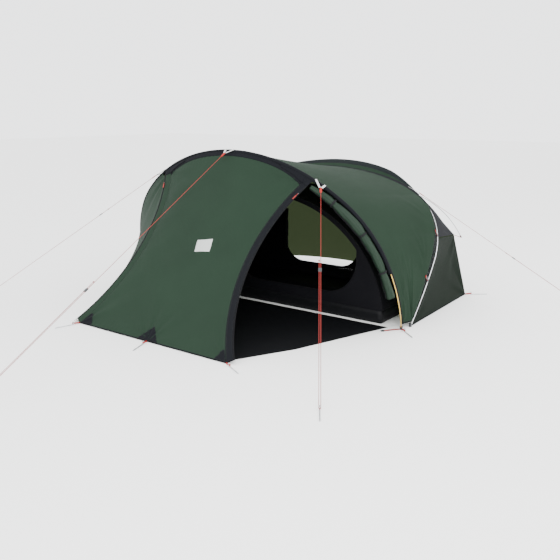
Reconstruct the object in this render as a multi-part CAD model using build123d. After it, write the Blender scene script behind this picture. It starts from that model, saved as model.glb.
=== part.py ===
from build123d import *
import os
from math import acos, atan2, cos, degrees, hypot, pi, radians, sin, sqrt

# Two-hoop tent with a deep front vestibule and a two-door inner tent.
# Millimetres. +X runs from the vestibule to the rear, -Y is the left side, whose
# door is rolled open, and +Z is up. At the end everything is moved so that the
# origin lies at the bottom centre of the tent without its guy lines.

# ---- the two poles and their feet
FRONT_HALF_SPAN = 1560.0      # middle of the front pole's foot to the centre plane
FRONT_HEIGHT = 1500.0         # front pole's centreline at its crown
FRONT_LEAN = -418.0           # how far its crown stands ahead of its feet
FRONT_TURNS = (25.7, 29.4, 39.4)    # degrees turned by leg, shoulder and half crown
FRONT_LEG_RATIO = 0.89        # leg's radius over the crown's
REAR_HALF_SPAN = 1590.0
REAR_HEIGHT = 1250.0
REAR_LEAN = 1215.0
REAR_FOOT_X = 118.0           # rear pole's feet behind the front pole's
REAR_TURNS = (6.6, 60.6, 24.8)
REAR_LEG_RATIO = 2.57
FRONT_POLE_R = 5.5
REAR_POLE_R = 5.0
SLEEVE_R = 17.0               # outside of a pole sleeve
FRONT_SLEEVE_END_Z = 520.0    # the front sleeve stops this high on each leg
REAR_SLEEVE_END_Y = 1150.0    # the rear sleeve stops this far out on each side
FOOT_R = 13.0
FOOT_H = 30.0
FOOT_FLOOR = 5.0              # solid bottom of a foot, which the pole stands on

# ---- fabric
CLOTH = 3.0                   # thickness given to every outer panel
INNER_CLOTH = 2.0
SEAM = 0.5                    # gap left between a panel's edge and what it is sewn to
FIT = 0.3                     # running clearance between hard pieces
HEM_Z = 4.0                   # middle of a hem above the ground

# ---- vestibule
HEM_X = -1532.0               # front hem
HEM_HALF = 935.0              # half the front hem's length
EDGE_TOP_Y = 858.0            # where a door edge meets the front hoop
EDGE_SAG = 255.0              # how far a door edge bows in towards the middle
BAND_W = 62.0                 # dark band beside the door zip
ZIP_TAPE_W = 12.0
ZIP_COIL_W = 5.0
ZIP_COIL_H = 2.4
ROLL_R = 42.0                 # rolled-up door

# ---- rear
EAVE_BACK = 250.0             # the rear strip behind the rear hoop, at the middle
EAVE_RISE = 45.0
STRIP_SHARE = 0.42            # the green part of that strip, the rest is dark
REAR_HEM_X = 1650.0
REAR_HEM_RISE = 130.0         # how far the rear hem arches up between its corners
CORNER_X = 1450.0
CORNER_Y = 1585.0
HOOD_TIP = (1510.0, 1400.0, 600.0)
HOOD_ROOT_Z = 690.0           # where the hood's mouth meets the rear pole
STRUT_TIP = (1668.0, 1418.0, 560.0)
STRUT_R = 3.0
STRUT_BOW = 62.0

# ---- inner tent
INNER_FRONT_X = 30.0
INNER_REAR_X = 1310.0
INNER_HALF = 1350.0
TRAY_H = 120.0
INNER_FRONT_TOP = 1120.0
INNER_REAR_TOP = 1040.0
FRONT_DOORWAY = (-350.0, 650.0, 1300.0, 860.0, 300.0)    # middle y, z, width, height, corner
REAR_DOORWAY = (90.0, 530.0, 940.0, 760.0, 260.0)
SHEET_REAR_X = -60.0          # rear edge of the vestibule's groundsheet
SHEET_T = 2.0

# ---- guy lines, pegs and small hardware
CORD_D = 4.0
STRAND_GAP = 13.0             # between a guy's two strands at its peg and its runner
SIDE_ANCHOR_Y = 920.0         # where the side guys' webbing meets the front hoop
REAR_ANCHOR_Y = 1060.0
ANCHOR_SPREAD = 45.0          # half the width of a V of webbing on its sleeve
ANCHOR_DROP = 72.0            # the V's point beyond the pole's centreline
ANCHOR_LIFT = 26.0            # and outside it, clear of the panels
ADAPTER_L = 60.0
TAIL = 95.0                   # cord left above a runner, with the knot on its end
RUNNER = (26.0, 9.0, 34.0)    # width, thickness, length
PEG_R = 4.0
PEG_NECK_R = 3.2
PEG_L = 170.0
PEG_NECK_Z = 14.0             # height at which a cord or loop goes round a lying peg
STRAP_W = 18.0
STRAP_T = 1.6
SIDES = {"left": -1, "right": 1}


# ------------------------------------------------------------------ points
def add(a, b, k=1.0):
    return tuple(p + k * q for p, q in zip(a, b))


def sub(a, b):
    return tuple(p - q for p, q in zip(a, b))


def dot(a, b):
    return sum(p * q for p, q in zip(a, b))


def cross(a, b):
    return (a[1] * b[2] - a[2] * b[1], a[2] * b[0] - a[0] * b[2], a[0] * b[1] - a[1] * b[0])


def unit(a):
    size = sqrt(dot(a, a))
    return tuple(p / size for p in a)


def mix(a, b, k):
    return tuple(p + k * (q - p) for p, q in zip(a, b))


def run(a, b, count):
    """Points evenly spaced on the straight line from a to b."""
    return [mix(a, b, k / (count - 1)) for k in range(count)]


def steps(count):
    return [k / (count - 1) for k in range(count)]


class Arch:
    """A leaning hoop of tangent arcs: leg, shoulder, crown, shoulder, leg.

    Places on it are lengths along the hoop from its left foot."""

    def __init__(self, half_span, height, lean, foot_x, turns, leg_ratio):
        self.foot_x = foot_x
        plane_height = hypot(height, lean)
        self.up = (lean / plane_height, 0.0, height / plane_height)
        self.back = (height / plane_height, 0.0, -lean / plane_height)
        leg, shoulder, crown = (radians(t) for t in turns)
        start = leg + shoulder + crown
        moves = [
            self.move(start, start - leg),
            self.move(start - leg, crown),
            self.move(crown, 0.0),
        ]
        # the crown's and the shoulder's radius give the stated span and height
        a, c = (leg_ratio * moves[0][k] + moves[2][k] for k in (0, 1))
        b, d = moves[1]
        crown_r = (half_span * d - b * plane_height) / (a * d - b * c)
        shoulder_r = (a * plane_height - c * half_span) / (a * d - b * c)
        self.arcs = []
        place, heading, length = (-half_span, 0.0), start, 0.0
        for radius, turn in ((leg_ratio * crown_r, leg), (shoulder_r, shoulder), (crown_r, crown)):
            self.arcs.append((length, radius, heading, place))
            step = self.move(heading, heading - turn)
            place = (place[0] + radius * step[0], place[1] + radius * step[1])
            heading -= turn
            length += radius * turn
        self.length = 2 * length

    @staticmethod
    def move(a, b):
        return (sin(a) - sin(b), cos(b) - cos(a))

    def at(self, s, inset=0.0, back=0.0):
        """The point s along the hoop, moved in towards its inside and back from its plane."""
        mirrored = s > self.length / 2
        s = min(s, self.length - s)
        begin, radius, heading, place = [arc for arc in self.arcs if arc[0] <= s + 1e-9][-1]
        now = heading - (s - begin) / radius
        step = self.move(heading, now)
        across = place[0] + radius * step[0] + inset * sin(now)
        rise = place[1] + radius * step[1] - inset * cos(now)
        point = add((self.foot_x, -across if mirrored else across, 0.0), self.up, rise)
        return add(point, self.back, back)

    def find(self, want):
        """The length along the left half at which want(point) turns from false to true."""
        low, high = 0.0, self.length / 2
        for _ in range(50):
            middle = (low + high) / 2
            low, high = (low, middle) if want(self.at(middle)) else (middle, high)
        return high

    def wire(self, s0, s1, inset=0.0, back=0.0):
        begins = [arc[0] for arc in self.arcs]
        joints = begins + [self.length - b for b in begins]
        joints = [j for j in sorted(joints) if s0 + 1 < j < s1 - 1 and abs(j - self.length / 2) > 1]
        cuts = [s0, *joints, s1]
        edges = []
        for a, b in zip(cuts, cuts[1:]):
            points = [self.at(s, inset, back) for s in (a, (a + b) / 2, b)]
            edges.append(Edge.make_three_point_arc(*points))
        return Wire(edges)


front = Arch(FRONT_HALF_SPAN, FRONT_HEIGHT, FRONT_LEAN, 0.0, FRONT_TURNS, FRONT_LEG_RATIO)
rear = Arch(REAR_HALF_SPAN, REAR_HEIGHT, REAR_LEAN, REAR_FOOT_X, REAR_TURNS, REAR_LEG_RATIO)


# ------------------------------------------------------------------ solids
def placed(shape, side):
    """The shape on the side asked for: shapes are drawn on the left."""
    return shape if side == "left" else shape.mirror(Plane.XZ)


def tube(path, outer, inner=0.0):
    start = path.position_at(0)
    profile = Circle(outer) - Circle(inner) if inner else Circle(outer)
    plane = Plane(origin=start, z_dir=path.tangent_at(0))
    return sweep(plane * profile, path=path)


def sheet(rows, thickness):
    """A closed thin solid on both sides of a grid of points."""
    high, wide = len(rows), len(rows[0])

    def normal(j, i):
        along = sub(rows[j][min(i + 1, wide - 1)], rows[j][max(i - 1, 0)])
        up = sub(rows[min(j + 1, high - 1)][i], rows[max(j - 1, 0)][i])
        return unit(cross(along, up))

    normals = [[normal(j, i) for i in range(wide)] for j in range(high)]
    skins = [
        [[add(rows[j][i], normals[j][i], k * thickness / 2) for i in range(wide)] for j in range(high)]
        for k in (1, -1)
    ]
    faces = []

    def quad(a, b, c, d):
        for corners in ((a, b, c), (a, c, d)):
            faces.append(Face(Wire.make_polygon(corners)))

    for skin in skins:
        for j in range(high - 1):
            for i in range(wide - 1):
                quad(skin[j][i], skin[j][i + 1], skin[j + 1][i + 1], skin[j + 1][i])
    ring = [(0, i) for i in range(wide)]
    ring += [(j, wide - 1) for j in range(1, high)]
    ring += [(high - 1, i) for i in range(wide - 2, -1, -1)]
    ring += [(j, 0) for j in range(high - 2, 0, -1)]
    for (j0, i0), (j1, i1) in zip(ring, ring[1:] + ring[:1]):
        quad(skins[0][j0][i0], skins[0][j1][i1], skins[1][j1][i1], skins[1][j0][i0])
    return Solid(Shell(faces))


def patch(bottom, top, left, right, sag=(0.0, 0.0, 0.0)):
    """A grid of points that fills four edges: bottom and top run the same way, as do
    left and right. sag moves its middle."""
    rows = []
    for v, a, b in zip(steps(len(left)), left, right):
        row = []
        for u, c, d in zip(steps(len(bottom)), bottom, top):
            point = add(mix(a, b, u), mix(c, d, v))
            corners = mix(mix(bottom[0], bottom[-1], u), mix(top[0], top[-1], u), v)
            row.append(add(sub(point, corners), sag, 16 * u * (1 - u) * v * (1 - v)))
        rows.append(row)
    return rows


def bar(a, b, width, thickness, flat):
    """A flat bar or strap from a to b, its width along the direction flat."""
    along = unit(sub(b, a))
    flat = unit(sub(flat, tuple(dot(flat, along) * k for k in along)))
    plane = Plane(origin=a, x_dir=flat, z_dir=along)
    return extrude(plane * Rectangle(width, thickness), sqrt(dot(sub(b, a), sub(b, a))))


def peg(neck, away):
    """A peg lying on the ground: its shaft points away, and its neck stands up at the
    loop it holds, with a wide cap on top."""
    away = unit((away[0], away[1], 0.0))
    base = (neck[0], neck[1], 0.0)
    shaft_start = add(add(base, (0, 0, PEG_R)), away, -PEG_R)
    shaft = extrude(Plane(origin=shaft_start, z_dir=away) * Circle(PEG_R), PEG_L)
    post = extrude(Plane(origin=add(base, (0, 0, PEG_R))) * Circle(PEG_NECK_R), PEG_NECK_Z * 1.5)
    cap = Plane(origin=add(base, (0, 0, PEG_NECK_Z * 1.5 + PEG_R))) * Circle(PEG_R * 2)
    return shaft + post + extrude(cap, PEG_R)


parts = {}

# ------------------------------------------------------------------ poles
CROWN_F, CROWN_R = front.length / 2, rear.length / 2
front_sleeve_s = front.find(lambda p: p[2] > FRONT_SLEEVE_END_Z)
rear_sleeve_s = rear.find(lambda p: p[1] > -REAR_SLEEVE_END_Y)
side_anchor_s = front.find(lambda p: p[1] > -SIDE_ANCHOR_Y)
rear_anchor_s = rear.find(lambda p: p[1] > -REAR_ANCHOR_Y)


def pole(arch, radius):
    """A whole pole, standing on the floors of its two feet."""
    begin = arch.find(lambda p: p[2] > FOOT_FLOOR + radius)
    return tube(arch.wire(begin, arch.length - begin), radius)


def feet(arch, radius):
    """Two cups, one under each end of a pole."""
    foot = arch.at(0)
    cup = extrude(Plane(origin=foot) * Circle(FOOT_R), FOOT_H)
    begin = arch.find(lambda p: p[2] > FOOT_FLOOR + radius)
    lean = unit(sub(arch.at(begin + FOOT_H), arch.at(begin)))
    below = add(arch.at(begin), lean, -FIT)
    cup -= extrude(Plane(origin=below, z_dir=lean) * Circle(radius + 2 * FIT), 3 * FOOT_H)
    return [cup, placed(cup, "right")]


parts["front_pole"] = [pole(front, FRONT_POLE_R)]
parts["rear_pole"] = [pole(rear, REAR_POLE_R)]
parts["pole_feet"] = feet(front, FRONT_POLE_R) + feet(rear, REAR_POLE_R)
parts["front_sleeve"] = [
    tube(front.wire(front_sleeve_s, front.length - front_sleeve_s), SLEEVE_R, FRONT_POLE_R + FIT)
]
parts["rear_sleeve"] = [
    tube(rear.wire(rear_sleeve_s, rear.length - rear_sleeve_s), SLEEVE_R, REAR_POLE_R + FIT)
]

# ------------------------------------------------------------------ door edges
# Each door edge is one arc of a circle, in its own plane, so that the zip's slider
# turns about that circle's axis.
edge_top_s = front.find(lambda p: p[1] > -EDGE_TOP_Y)
edge_top = front.at(edge_top_s, 0.0, -(SLEEVE_R + SEAM))
edge_foot = (HEM_X, -HEM_HALF, HEM_Z)
edge_chord = sub(edge_foot, edge_top)
edge_length = sqrt(dot(edge_chord, edge_chord))
edge_r = (edge_length**2 / 4 + EDGE_SAG**2) / (2 * EDGE_SAG)
edge_down = unit(edge_chord)
edge_out = unit(sub((0, -1, 0), tuple(-edge_down[1] * k for k in edge_down)))
edge_normal = unit(cross(edge_down, edge_out))
edge_centre = add(mix(edge_top, edge_foot, 0.5), edge_out, edge_r - EDGE_SAG)
edge_half_angle = atan2(edge_length / 2, edge_r - EDGE_SAG)


def edge_at(v, outward=0.0, lift=0.0):
    """A point on the left door edge, from 0 at the hoop to 1 at the ground.

    outward is away from the circle's centre, towards the front panel."""
    angle = (2 * v - 1) * edge_half_angle
    radial = add(tuple(-cos(angle) * k for k in edge_out), edge_down, sin(angle))
    return add(add(edge_centre, radial, edge_r + outward), edge_normal, lift)


def edge_foot_v(height, outward):
    """How far down the edge is when it reaches a height above the ground."""
    low, high = 0.5, 1.0
    for _ in range(50):
        middle = (low + high) / 2
        low, high = (middle, high) if edge_at(middle, outward)[2] > height else (low, middle)
    return low


def edge_strip(v0, v1, r0, r1, low, high):
    """A flat curved strip along the left door edge between two radii."""
    a = [edge_at(v, r0, low) for v in (v0, (v0 + v1) / 2, v1)]
    b = [edge_at(v, r1, low) for v in (v0, (v0 + v1) / 2, v1)]
    edges = [
        Edge.make_three_point_arc(*a),
        Edge.make_line(a[2], b[2]),
        Edge.make_three_point_arc(*reversed(b)),
        Edge.make_line(b[0], a[0]),
    ]
    return Solid.extrude(Face(Wire(edges)), Vector(*edge_normal) * (high - low))


def mirrored_pair(name, shape):
    for side in SIDES:
        parts[f"{name}_{side}"] = [placed(shape, side)]


BAND_TOP = 0.03                              # the band starts clear of the sleeve
BAND_FOOT = edge_foot_v(HEM_Z, BAND_W)       # and ends just above the ground
mirrored_pair("door_band", edge_strip(BAND_TOP, BAND_FOOT, SEAM, BAND_W, -CLOTH / 2, CLOTH / 2))
tape = edge_strip(BAND_TOP, BAND_FOOT, -ZIP_TAPE_W, 0.0, -CLOTH / 2, CLOTH / 2)
coil_half = ZIP_COIL_W / 2
coil_low = CLOTH / 2
COIL_SINK = 0.2              # how deep the coil is sewn into its tape
coil = edge_strip(
    BAND_TOP,
    BAND_FOOT,
    -ZIP_TAPE_W / 2 - coil_half,
    -ZIP_TAPE_W / 2 + coil_half,
    coil_low - COIL_SINK,
    coil_low + ZIP_COIL_H,
)
mirrored_pair("door_zip", tape + coil)


SLIDER_L, SLIDER_W, SLIDER_H = 17.0, 10.0, 5.4
BAIL_HALF = 3.2              # middle of the bail's bar to each of its posts
BAIL_R = 0.8
BAIL_Z = 2.8                 # the bar's middle above the slider's top
TAB_L = 22.0
TAIL_L = 42.0
TAIL_HALF_W = 5.5
PULLER_HALF_W = 1.7
SLIDER_AT = 0.09             # how far down its edge the slider stands


def slider(v):
    """A zip slider on the left edge at v: a small hood over the coil, with a bail."""
    middle = edge_at(v, -ZIP_TAPE_W / 2, coil_low + FIT)
    tangent = unit(sub(edge_at(v + 0.001), edge_at(v - 0.001)))
    plane = Plane(origin=middle, x_dir=tangent, z_dir=edge_normal)
    body = extrude(plane * RectangleRounded(SLIDER_L, SLIDER_W, 3), SLIDER_H)
    body -= extrude(plane * Rectangle(2 * SLIDER_L, ZIP_COIL_W + 4 * FIT), ZIP_COIL_H + FIT)
    for k in (1, -1):
        post = plane.offset(SLIDER_H) * Pos(0, k * BAIL_HALF) * Rectangle(2.4, 1.6)
        body += extrude(post, BAIL_Z + 1.0)
    pin = Plane(origin=middle, x_dir=tangent, z_dir=edge_normal).offset(SLIDER_H + BAIL_Z)
    across = Plane(origin=pin.origin, x_dir=tangent, z_dir=pin.y_dir)
    body += extrude(across * Circle(BAIL_R), BAIL_HALF, both=True)
    return body, across


def puller(across):
    """A tab with a ring round the slider's bail, lying along the edge, and a tape tail."""
    eye = Circle(BAIL_R + FIT + 0.9) - Circle(BAIL_R + FIT)
    ring = extrude(across * eye, PULLER_HALF_W, both=True)
    tab_profile = across * Pos(TAB_L / 2 + 1.5, 0) * Rectangle(TAB_L, 1.2)
    tab = extrude(tab_profile, PULLER_HALF_W, both=True)
    tail_profile = across * Pos(TAB_L + TAIL_L / 2, 0) * Rectangle(TAIL_L, 1.8)
    return ring + tab + extrude(tail_profile, TAIL_HALF_W, both=True)


slider_body, slider_pin = slider(SLIDER_AT)
mirrored_pair("zip_slider", slider_body)
mirrored_pair("zip_puller", puller(slider_pin))

# ------------------------------------------------------------------ front panel
def flipped(points):
    return [(p[0], -p[1], p[2]) for p in points]


ROWS, COLUMNS = 11, 17
PANEL_SAG = (30.0, 0.0, -20.0)
FACET = 1.0                  # a panel's straight facets cut a curved seam by up to this
FRONT_SEAM = SLEEVE_R + SEAM + FACET        # from the pole's middle to a panel's edge
CHORD = edge_r * (1 - cos(edge_half_angle / (ROWS - 1)))    # a straight edge cuts an arc by this
PANEL_OUT = BAND_W + 2 * SEAM + CHORD
panel_foot_v = edge_foot_v(HEM_Z, PANEL_OUT)
panel_left = [edge_at(BAND_TOP + (panel_foot_v - BAND_TOP) * v, PANEL_OUT) for v in steps(ROWS)]
panel_top = []
for k in steps(COLUMNS):
    y = panel_left[0][1] * (1 - 2 * k)
    s = front.find(lambda p: p[1] > -abs(y))
    x, _, z = front.at(s, 0.0, -FRONT_SEAM)
    panel_top.append((x, y, z))
top_shift = sub(panel_left[0], panel_top[0])
panel_top = [add(p, top_shift, abs(1 - 2 * k) ** 6) for p, k in zip(panel_top, steps(COLUMNS))]
hem_corner = panel_left[-1]
panel_bottom = run(hem_corner, flipped([hem_corner])[0], COLUMNS)
panel_rows = patch(panel_top, panel_bottom, panel_left, flipped(panel_left), PANEL_SAG)
parts["front_panel"] = [sheet(panel_rows, CLOTH)]

# dark reinforcements on the front hem: one in each corner and one at the middle peg
PATCH_FOOT_V = 0.985
PATCH_LIFT = CLOTH / 2 + CLOTH / 4 + 2 * SEAM


def on_grid(rows, u, v):
    """A point of a grid and the way down its rows there. u runs across, v down."""
    i, j = u * (len(rows[0]) - 1), v * (len(rows) - 1)
    i0, j0 = min(int(i), len(rows[0]) - 2), min(int(j), len(rows) - 2)
    low = mix(rows[j0][i0], rows[j0][i0 + 1], i - i0)
    high = mix(rows[j0 + 1][i0], rows[j0 + 1][i0 + 1], i - i0)
    return mix(low, high, j - j0), unit(sub(high, low))


def on_panel(u, v, lift):
    """A point of the front panel, lifted forward off it. v is 0 at the hoop."""
    point, slope = on_grid(panel_rows, u, v)
    return add(point, unit(cross(slope, (0, 1, 0))), lift)


def hem_patch(u0, u1, u_top, v_top):
    """A tapering patch from u0..u1 on the hem up to v_top."""
    rows = []
    for k in steps(4):
        v = PATCH_FOOT_V + (v_top - PATCH_FOOT_V) * k
        middle = (u0 + u1) / 2 * (1 - k) + u_top * k
        width = (u1 - u0) * (1 - 0.94 * k)
        places = [middle + width * (share - 0.5) for share in steps(5)]
        rows.append([on_panel(u, v, -PATCH_LIFT) for u in places])
    return sheet(rows, CLOTH / 2)


parts["hem_patches"] = [
    hem_patch(0.01, 0.10, 0.02, 0.86),
    hem_patch(0.44, 0.56, 0.50, 0.92),
    hem_patch(0.90, 0.99, 0.98, 0.86),
]
LABEL_AT = (0.39, 0.49)      # plain printed patch, as shares across and down the panel
LABEL_SIZE = (0.13, 0.065)
label_us = [LABEL_AT[0] + LABEL_SIZE[0] * (k - 0.5) for k in steps(4)]
label_vs = [LABEL_AT[1] + LABEL_SIZE[1] * (k - 0.5) for k in steps(3)]
label_rows = [[on_panel(u, v, -PATCH_LIFT) for u in label_us] for v in label_vs]
parts["plain_label"] = [sheet(label_rows, CLOTH / 2)]

# ------------------------------------------------------------------ side doors
DOOR_COLUMNS = 7
DOOR_TOP = 0.05              # the closed door starts this far down its edge
DOOR_OUT = -ZIP_TAPE_W - SEAM - FACET
door_foot_v = edge_foot_v(HEM_Z, DOOR_OUT)
zip_side = [edge_at(DOOR_TOP + (door_foot_v - DOOR_TOP) * v, DOOR_OUT) for v in steps(ROWS)]
door_top_s = edge_top_s - 70.0
DOOR_FOOT_S = 12.0           # where the door's lower corner is on the front pole
hoop_places = [door_top_s * (1 - v) + DOOR_FOOT_S * v for v in steps(ROWS)]
hoop_side = [front.at(s, 0.0, -FRONT_SEAM) for s in hoop_places]
hoop_side[-1] = (hoop_side[-1][0], hoop_side[-1][1], HEM_Z)
door_rows = patch(
    run(zip_side[0], hoop_side[0], DOOR_COLUMNS),
    run(zip_side[-1], hoop_side[-1], DOOR_COLUMNS),
    zip_side,
    hoop_side,
    (0.0, 25.0, 0.0),
)
parts["right_door"] = [placed(sheet(door_rows, CLOTH), "right")]

ROLL_GAP = SLEEVE_R + ROLL_R + STRAP_T + 2 * SEAM
ROLL_DOWN = 0.62             # the roll hangs this much inwards, the rest forwards
roll_inset = ROLL_GAP * ROLL_DOWN
roll_back = -sqrt(ROLL_GAP**2 - roll_inset**2)
roll_start = front.find(lambda p: p[2] > 330.0)
roll_end = side_anchor_s - ANCHOR_SPREAD - 45.0
parts["left_door_roll"] = [tube(front.wire(roll_start, roll_end, roll_inset, roll_back), ROLL_R)]
TIE_W = 16.0
ties = []
for share in (0.2, 0.5, 0.8):
    s = roll_start + (roll_end - roll_start) * share
    tie_path = front.wire(s, s + TIE_W, roll_inset, roll_back)
    ties.append(tube(tie_path, ROLL_R + SEAM + STRAP_T, ROLL_R + SEAM))
parts["door_ties"] = ties

# ------------------------------------------------------------------ roof and sides
LEG_START = 45.0             # how far above its feet a panel's lower edge is
ROOF_COLUMNS, ROOF_ROWS = 29, 6
POLE_INSET = 62.0            # the roof's edge leaves the bare rear pole by this much
CLIP_WALL = 3.0
MESH_CLIP_S = (0.30, 0.62)   # where the clips hold it, as shares of the bare leg


def rear_inset(s):
    """How far the roof's rear edge stands in from the rear pole at s."""
    s = min(s, rear.length - s)
    share = min(max(s / rear_sleeve_s, 0.0), 1.0)
    return SLEEVE_R + SEAM + CLOTH / 2 + POLE_INSET * sin(pi * share)


def evenly(arch, s0, count):
    return [s0 + (arch.length - 2 * s0) * k for k in steps(count)]


roof_front = [front.at(s, 0.0, FRONT_SEAM) for s in evenly(front, LEG_START, ROOF_COLUMNS)]
roof_rear_s = evenly(rear, LEG_START, ROOF_COLUMNS)
roof_rear = [rear.at(s, 0.0, -rear_inset(s)) for s in roof_rear_s]
roof_rows = patch(
    roof_front,
    roof_rear,
    run(roof_front[0], roof_rear[0], ROOF_ROWS),
    run(roof_front[-1], roof_rear[-1], ROOF_ROWS),
    (0.0, 0.0, -22.0),
)
parts["roof_panel"] = [sheet(roof_rows, CLOTH)]

MESH_COLUMNS = 13
mesh_s = [LEG_START + 40 + (rear_sleeve_s - LEG_START - 80) * k for k in steps(MESH_COLUMNS)]
mesh_outer = [rear.at(s, 0.0, -(REAR_POLE_R + FIT + CLIP_WALL + SEAM)) for s in mesh_s]
mesh_inner = [rear.at(s, 0.0, -(rear_inset(s) - CLOTH / 2 - SEAM)) for s in mesh_s]
mirrored_pair("side_mesh", sheet([mesh_outer, mesh_inner], INNER_CLOTH))

# ------------------------------------------------------------------ rear
REAR_COLUMNS = 19
strip_start = rear_sleeve_s + 30.0


def eave(s, share):
    """A point behind the rear hoop, share of the way from its sleeve to the eave."""
    x, y, z = rear.at(s)
    middle = max(0.0, 1 - (y / REAR_SLEEVE_END_Y) ** 2)
    start = rear.at(s, 0.0, SLEEVE_R + SEAM + CLOTH / 2)
    reach = 26.0 + EAVE_BACK * middle
    rise = EAVE_RISE * middle + 0.3 * (start[2] - z)
    return add(start, (reach, 0.0, rise), share)


def eave_curve(share, back=0.0):
    count = REAR_COLUMNS
    points = [eave(strip_start + (rear.length - 2 * strip_start) * k, share) for k in steps(count)]
    return [add(p, (back, 0.0, 0.0)) for p in points]


def strip(share0, share1, back0, back1):
    return sheet([eave_curve(share0, back0), eave_curve(share1, back1)], CLOTH)


parts["rear_strip"] = [strip(0.0, STRIP_SHARE, 0.0, -SEAM)]
parts["rear_vent_strip"] = [strip(STRIP_SHARE, 1.0, SEAM, -SEAM)]

# The rear wall hangs from the eave to an arched hem between the two rear corners.
WALL_ROWS = 8
corner = (CORNER_X, -CORNER_Y, HEM_Z)
wall_top = [add(p, (0, 0, -CLOTH / 2 - SEAM)) for p in eave_curve(1.0, CLOTH / 2)]


def rear_hem(k):
    """A point of the rear hem, from 0 at the left corner to 1 at the right."""
    bow = 1 - (2 * k - 1) ** 2
    y = -CORNER_Y * (1 - 2 * k)
    return (CORNER_X + (REAR_HEM_X - CORNER_X) * bow, y, HEM_Z + REAR_HEM_RISE * bow)


tip = (HOOD_TIP[0], -HOOD_TIP[1], HOOD_TIP[2])
wall_hem = [rear_hem(k) for k in steps(REAR_COLUMNS)]
ridge_share = 0.45


def wall_edge(v):
    """The wall's left edge: down to the hood's tip, then down to the ground corner."""
    if v <= ridge_share:
        return mix(wall_top[0], tip, v / ridge_share)
    return mix(tip, corner, (v - ridge_share) / (1 - ridge_share))


wall_left = [wall_edge(v) for v in steps(WALL_ROWS + 2)]
WALL_SAG = 30.0
wall_right = flipped(wall_left)
wall_rows = []
for v, left_edge, right_edge in zip(steps(WALL_ROWS + 2), wall_left, wall_right):
    left_pull = sub(left_edge, mix(wall_top[0], corner, v))
    right_pull = sub(right_edge, mix(wall_top[-1], flipped([corner])[0], v))
    row = []
    for u, high, low in zip(steps(REAR_COLUMNS), wall_top, wall_hem):
        point = add(mix(high, low, v), left_pull, (1 - u) ** 4)
        point = add(point, right_pull, u**4)
        row.append(add(point, (-WALL_SAG, 0.0, 0.0), 16 * u * (1 - u) * v * (1 - v)))
    wall_rows.append(row)
parts["rear_wall"] = [sheet(wall_rows, CLOTH)]

# Each side wall fills the triangle between the rear pole's leg, the ground and the
# ridge from the pole to the hood's tip and on to the corner.
SIDE_ROWS, SIDE_COLUMNS = 7, 7
LEG_GAP = REAR_POLE_R + FIT + CLIP_WALL + SEAM + FIT    # clears the clips on the pole
hood_root_s = rear.find(lambda p: p[2] > HOOD_ROOT_Z)
leg_places = [LEG_START + (hood_root_s - LEG_START) * v for v in steps(SIDE_ROWS)]
leg_line = [rear.at(s, 0.0, LEG_GAP) for s in leg_places]
ridge_gap = (-5.0, -1.6, 0.0)
side_ridge = [add(mix(corner, tip, v), ridge_gap) for v in steps(SIDE_ROWS)]
ground_line = run((leg_line[0][0], leg_line[0][1], HEM_Z), side_ridge[0], SIDE_COLUMNS)
leg_line[0] = ground_line[0]
side_rows = patch(
    ground_line,
    run(leg_line[-1], side_ridge[-1], SIDE_COLUMNS),
    leg_line,
    side_ridge,
    (0.0, 30.0, 0.0),
)
mirrored_pair("rear_side", sheet(side_rows, CLOTH))

# The vent hood closes the side above that, from the pole to the tip, like an awning.
HOOD_LIFT = 9.0
HOOD_CLEAR = 14.0            # kept from the side wall below and the sleeve above
hood_span = rear_sleeve_s - hood_root_s - 2 * HOOD_CLEAR
hood_leg = [rear.at(hood_root_s + HOOD_CLEAR + hood_span * v, 0.0, LEG_GAP) for v in steps(5)]
hood_out = [add(mix(tip, wall_top[0], v * 0.9), (-12.0, -3.0, HOOD_LIFT)) for v in steps(5)]
hood_rows = patch(
    run(hood_leg[0], hood_out[0], 6),
    run(hood_leg[-1], hood_out[-1], 6),
    hood_leg,
    hood_out,
    (0.0, -18.0, 12.0),
)
mirrored_pair("vent_hood", sheet(hood_rows, CLOTH))

# A sprung strut stands out from the rear pole and holds the hood's tip with a strap.
strut_root_s = rear_sleeve_s - 14
strut_root = rear.at(strut_root_s, -(REAR_POLE_R + STRUT_R + FIT))
strut_tip = (STRUT_TIP[0], -STRUT_TIP[1], STRUT_TIP[2])
strut_middle = add(mix(strut_root, strut_tip, 0.5), (0.0, -10.0, STRUT_BOW))
strut_path = Wire([Edge.make_three_point_arc(strut_root, strut_middle, strut_tip)])
mirrored_pair("vent_strut", tube(strut_path, STRUT_R))
cap_dir = unit(tuple(strut_path.tangent_at(1)))
CAP_DEPTH = 16.0             # how far the strut goes into its cap
CAP_L = 24.0
cap_plane = Plane(origin=add(strut_tip, cap_dir, -CAP_DEPTH), z_dir=cap_dir)
cap = extrude(cap_plane * Circle(STRUT_R + 4.0), CAP_L)
cap -= extrude(cap_plane.offset(-1) * Circle(STRUT_R + FIT / 3), CAP_DEPTH + 1)
parts["strut_caps"] = [cap, placed(cap, "right")]
strap_from, strap_to = add(strut_tip, (-7.5, 0, -3.5)), add(tip, (3, 0, 2))
hood_strap = bar(strap_from, strap_to, STRAP_W, STRAP_T, (0, 1, 0))
parts["hood_straps"] = [hood_strap, placed(hood_strap, "right")]

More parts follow.
